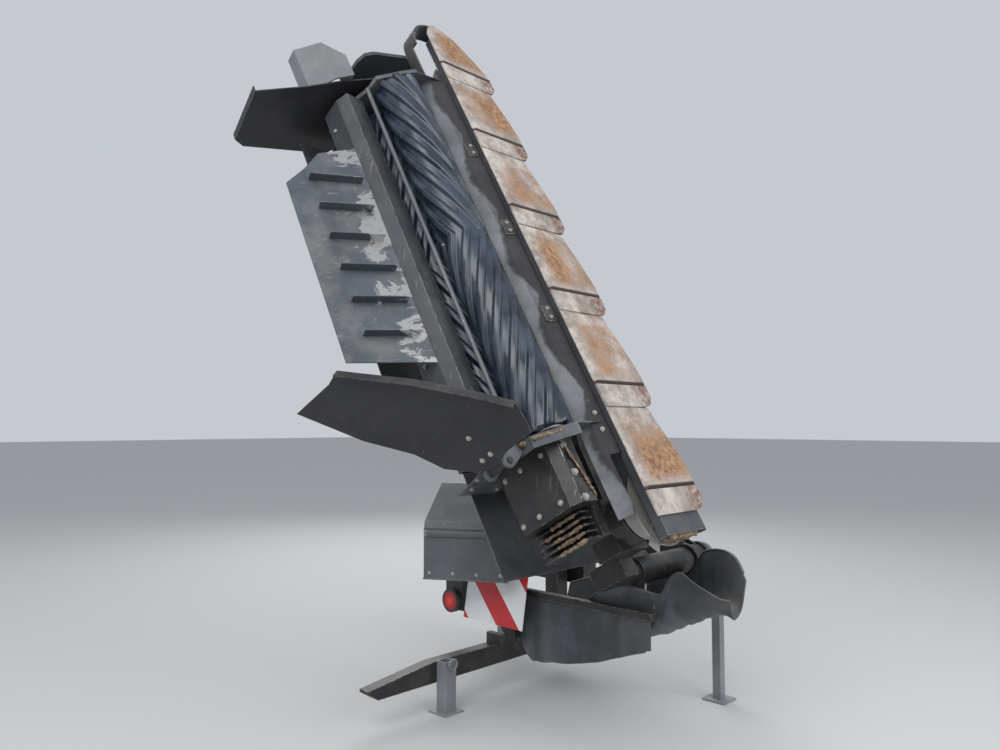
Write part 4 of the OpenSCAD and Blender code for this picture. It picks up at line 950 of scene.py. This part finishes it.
def makeClamps(spec):
    # Bolted clamps under the crop plate, where it hangs on the bar: a small plate that follows the slope of
    # the plate's underside, with two bolts
    for i, u in enumerate(spec["spots"]):
        def clampPlace(a, b, depth, u=u):
            return mowerPoints(u + a, b, spec["low"] - spec["slope"] * b - depth)
        outlinePiece(f"cropClamp{i + 1}", spec["outline"], clampPlace, spec["thickness"], "mower")
        places = clampPlace(np.array(spec["bolts"]), spec["boltLine"], spec["thickness"])
        hexBolts(f"cropClampBolts{i + 1}", places, -wAxis, spec["boltSize"], "mower")
    hexBolts("cropEndBolt", mowerPoints([0.262, 0.330], -0.030, 0.0482), -wAxis, 0.010, "mower")


boardBolts = {
    "boardInBolts": {"hinge": (0.232, -0.384), "turn": math.radians(48), "body": "swath_board_inner",
                     "spots": [(0.060, 0.230), (0.060, 0.275), (0.150, 0.240)]},
    "boardOutBolts": {"hinge": (2.125, -0.120), "turn": math.radians(-2), "body": "swath_board_outer",
                      "spots": [(0.060, 0.250), (0.060, 0.450), (0.180, 0.520)]},
}


def boardPoints(spec, side, along, height):
    # A swath board's own frame, turned about its upright pin: along the board, up, and out of its face
    a = spec["turn"]
    back = -np.asarray(along, float)
    return mowerPoints(spec["hinge"][0] + side * math.cos(a) - back * math.sin(a),
                       spec["hinge"][1] + side * math.sin(a) + back * math.cos(a), height)


def makeBoardBolts(boards):
    # Bolts on both faces of each swath board, through its hinge strap
    for name, spec in boards.items():
        along, height = np.array(spec["spots"]).T
        for label, way in (("Near", -1), ("Far", 1)):
            places = boardPoints(spec, way * 0.0030, along, height)
            axis = boardPoints(spec, way, 0, 0) - boardPoints(spec, 0, 0, 0)
            hexBolts(name + label, places, axis, 0.009, spec["body"])


makeBolts(boltRows)
makeClamps(clampShape)
makeBoardBolts(boardBolts)
print("bolts: made")


# Mud, and small pieces on the stand and the drive

mudRuns = {
    "mudPlateFlange": {"width": 0.016, "height": 0.010, "seed": 7, "path": [
        (0.283, -0.300, 0.170), (0.283, -0.304, 0.225), (0.283, -0.318, 0.300), (0.283, -0.322, 0.350)]},
    "mudPlateFoot": {"width": 0.013, "height": 0.009, "seed": 11, "path": [
        (0.283, -0.200, 0.085), (0.284, -0.250, 0.118), (0.283, -0.298, 0.150)]},
    "mudBarEnd": {"width": 0.014, "height": 0.010, "seed": 17, "path": [
        (-0.164, 0.030, 0.052), (-0.166, 0.090, 0.066), (-0.166, 0.170, 0.066), (-0.164, 0.245, 0.060)]},
    "mudBarFace": {"width": 0.006, "height": 0.012, "seed": 19, "path": [
        (-0.168, 0.035, 0.026), (-0.168, 0.120, 0.030), (-0.168, 0.210, 0.028)]},
    "mudBoxFoot": {"width": 0.016, "height": 0.006, "seed": 23, "path": [
        (0.045, -0.118, 0.124), (0.140, -0.150, 0.118), (0.275, -0.190, 0.118)]},
    "mudCropEdge": {"width": 0.007, "height": 0.005, "seed": 29, "path": [
        (0.310, -0.090, 0.104), (0.800, -0.092, 0.105), (1.400, -0.091, 0.105), (2.040, -0.090, 0.104)]},
}
mudFins = {"along": (-0.077, -0.053, -0.029, -0.005, 0.019), "faces": (-0.170, -0.160), "width": 0.007,
           "height": 0.008, "seed": 40, "lumps": 14}


def makeMud(runs, fins):
    # Ridges of mud along plates and the bar's end, and one on each fin of the drive box, of random length
    for name, run in runs.items():
        crustPiece(name, mowerPoints(*np.array(run["path"]).T), run["width"], run["height"], run["seed"])
    rng = np.random.default_rng(5)
    for i, u in enumerate(fins["along"]):
        v = rng.uniform(*fins["faces"], 2)
        low, high = 0.190 + 0.01 * rng.random(), 0.33 + 0.06 * rng.random()
        path = [(u, v[0], low), (u, v[1], 0.27), (u, v[0], high)]
        crustPiece(f"mudFin{i + 1}", mowerPoints(*np.array(path).T), fins["width"], fins["height"],
                   fins["seed"] + i, fins["lumps"])


legPins = {"spots": {"legPinRight": (0.610, 0.875, 0.560), "legPinLeft": (-0.7955, 0.900, 0.520)},
           "radius": 0.006, "back": 0.034, "front": 0.038, "eye": 0.032, "ring": 0.017, "wire": 0.0018}


def makeLegPins(spec):
    # A pin through the top of each front leg, with a wire ring that hangs from its front end
    a = np.linspace(0, 2 * math.pi, 28, endpoint=False)
    r = spec["ring"]
    for name, (x, y, z) in spec["spots"].items():
        tubePiece(name, [(x, y - spec["back"], z), (x, y + spec["front"], z)], spec["radius"], "headstock",
                  up=(1, 0, 0))
        ring = np.stack([x + r * np.cos(a), np.full(28, y + spec["eye"]), z - r + r * np.sin(a)], -1)
        tubePiece(f"{name}Ring", ring, spec["wire"], "headstock", sides=8, up=(0, 1, 0), closed=True)


cover = {
    "x": -0.178, "y": 0.043, "turn": math.radians(31), "face": -0.050,
    "band": (-0.190, 0.190, 24), "bandLow": 0.738, "bandThickness": 0.0015,
    "bandSection": [(0.0, 0.0), (0.010, 0.006), (0.012, 0.022), (0.006, 0.034), (0.0, 0.038)],
    "foot": [(-0.1935, 0.040), (-0.1935, -0.050), (0.1935, -0.050), (0.1935, 0.040)], "footHeight": 0.553,
    "roll": 0.0042, "screws": [-0.165, -0.055, 0.055, 0.165], "screwHeight": 0.580, "screwSize": 0.0075,
}


def coverPoints(across, back, z):
    # The drive cover's own frame, turned about the upright
    across, back = np.asarray(across, float), np.asarray(back, float)
    x = cover["x"] + across * math.cos(cover["turn"]) - back * math.sin(cover["turn"])
    y = cover["y"] + across * math.sin(cover["turn"]) + back * math.cos(cover["turn"])
    return np.stack(np.broadcast_arrays(x, y, np.asarray(z, float)), -1)


def makeCoverDetails(spec):
    # A folded band across the cover's face, a rolled edge round its foot and screws above it
    section = np.array(spec["bandSection"])
    across = np.linspace(*spec["band"])
    back, z = spec["face"] - section[None, :, 0], spec["bandLow"] + section[None, :, 1]
    band = coverPoints(across[:, None], back, z)
    band = gridPiece("coverBand", band, "headstock", "grey", "flat")
    thicken(band, spec["bandThickness"], -1)
    foot = spec["foot"]
    path = np.concatenate([np.linspace(foot[i], foot[i + 1], 30) for i in range(3)])
    roll = coverPoints(path[:, 0], path[:, 1], spec["footHeight"])
    roll = alongPath(roll, circleProfile(spec["roll"], 10))
    gridPiece("coverFootRoll", roll, "headstock", "grey")
    normal = coverPoints(0, -1, 0) - coverPoints(0, 0, 0)
    places = coverPoints(spec["screws"], spec["face"] - 0.0002, spec["screwHeight"])
    hexBolts("coverScrews", places, normal, spec["screwSize"], "headstock")


makeMud(mudRuns, mudFins)
makeLegPins(legPins)
makeCoverDetails(cover)
print("mud and small pieces: made")


# Floor and light

stage = {
    "floorHalf": 60, "floorColour": (0.50, 0.50, 0.495, 1), "sky": (0.80, 0.84, 0.90, 1), "skyStrength": 0.70,
    "aim": (0, 0, 1.2), "lightSize": 4.0,
    "lights": {"key": ((1.5, -4.5, 5.0), 230), "fill": ((4.5, 0.5, 3.5), 130),
               "back": ((-4.0, 3.5, 4.5), 160)},
}


def makeStage(spec):
    # A wide floor, a pale sky and three square lights turned to the object
    half = spec["floorHalf"]
    floor = bpy.data.meshes.new("floor")
    corners = [(-half, -half, 0), (half, -half, 0), (half, half, 0), (-half, half, 0)]
    floor.from_pydata(corners, [], [(0, 1, 2, 3)])
    obj = bpy.data.objects.new("floor", floor)
    bpy.context.scene.collection.objects.link(obj)
    material, shader, _ = startMaterial("floorPale", Roughness=0.9)
    shader.inputs["Base Color"].default_value = spec["floorColour"]
    floor.materials.append(material)
    world = bpy.data.worlds.new("studio")
    world.use_nodes = True
    background = world.node_tree.nodes["Background"]
    background.inputs["Color"].default_value = spec["sky"]
    background.inputs["Strength"].default_value = spec["skyStrength"]
    bpy.context.scene.world = world
    for name, (place, power) in spec["lights"].items():
        data = bpy.data.lights.new(name, "AREA")
        data.size = spec["lightSize"]
        data.energy = power
        light = bpy.data.objects.new(name, data)
        light.location = place
        light.rotation_euler = (Vector(spec["aim"]) - Vector(place)).to_track_quat("-Z", "Y").to_euler()
        bpy.context.scene.collection.objects.link(light)
    bpy.context.scene.view_settings.view_transform = "Standard"


makeStage(stage)
print("stage: made")
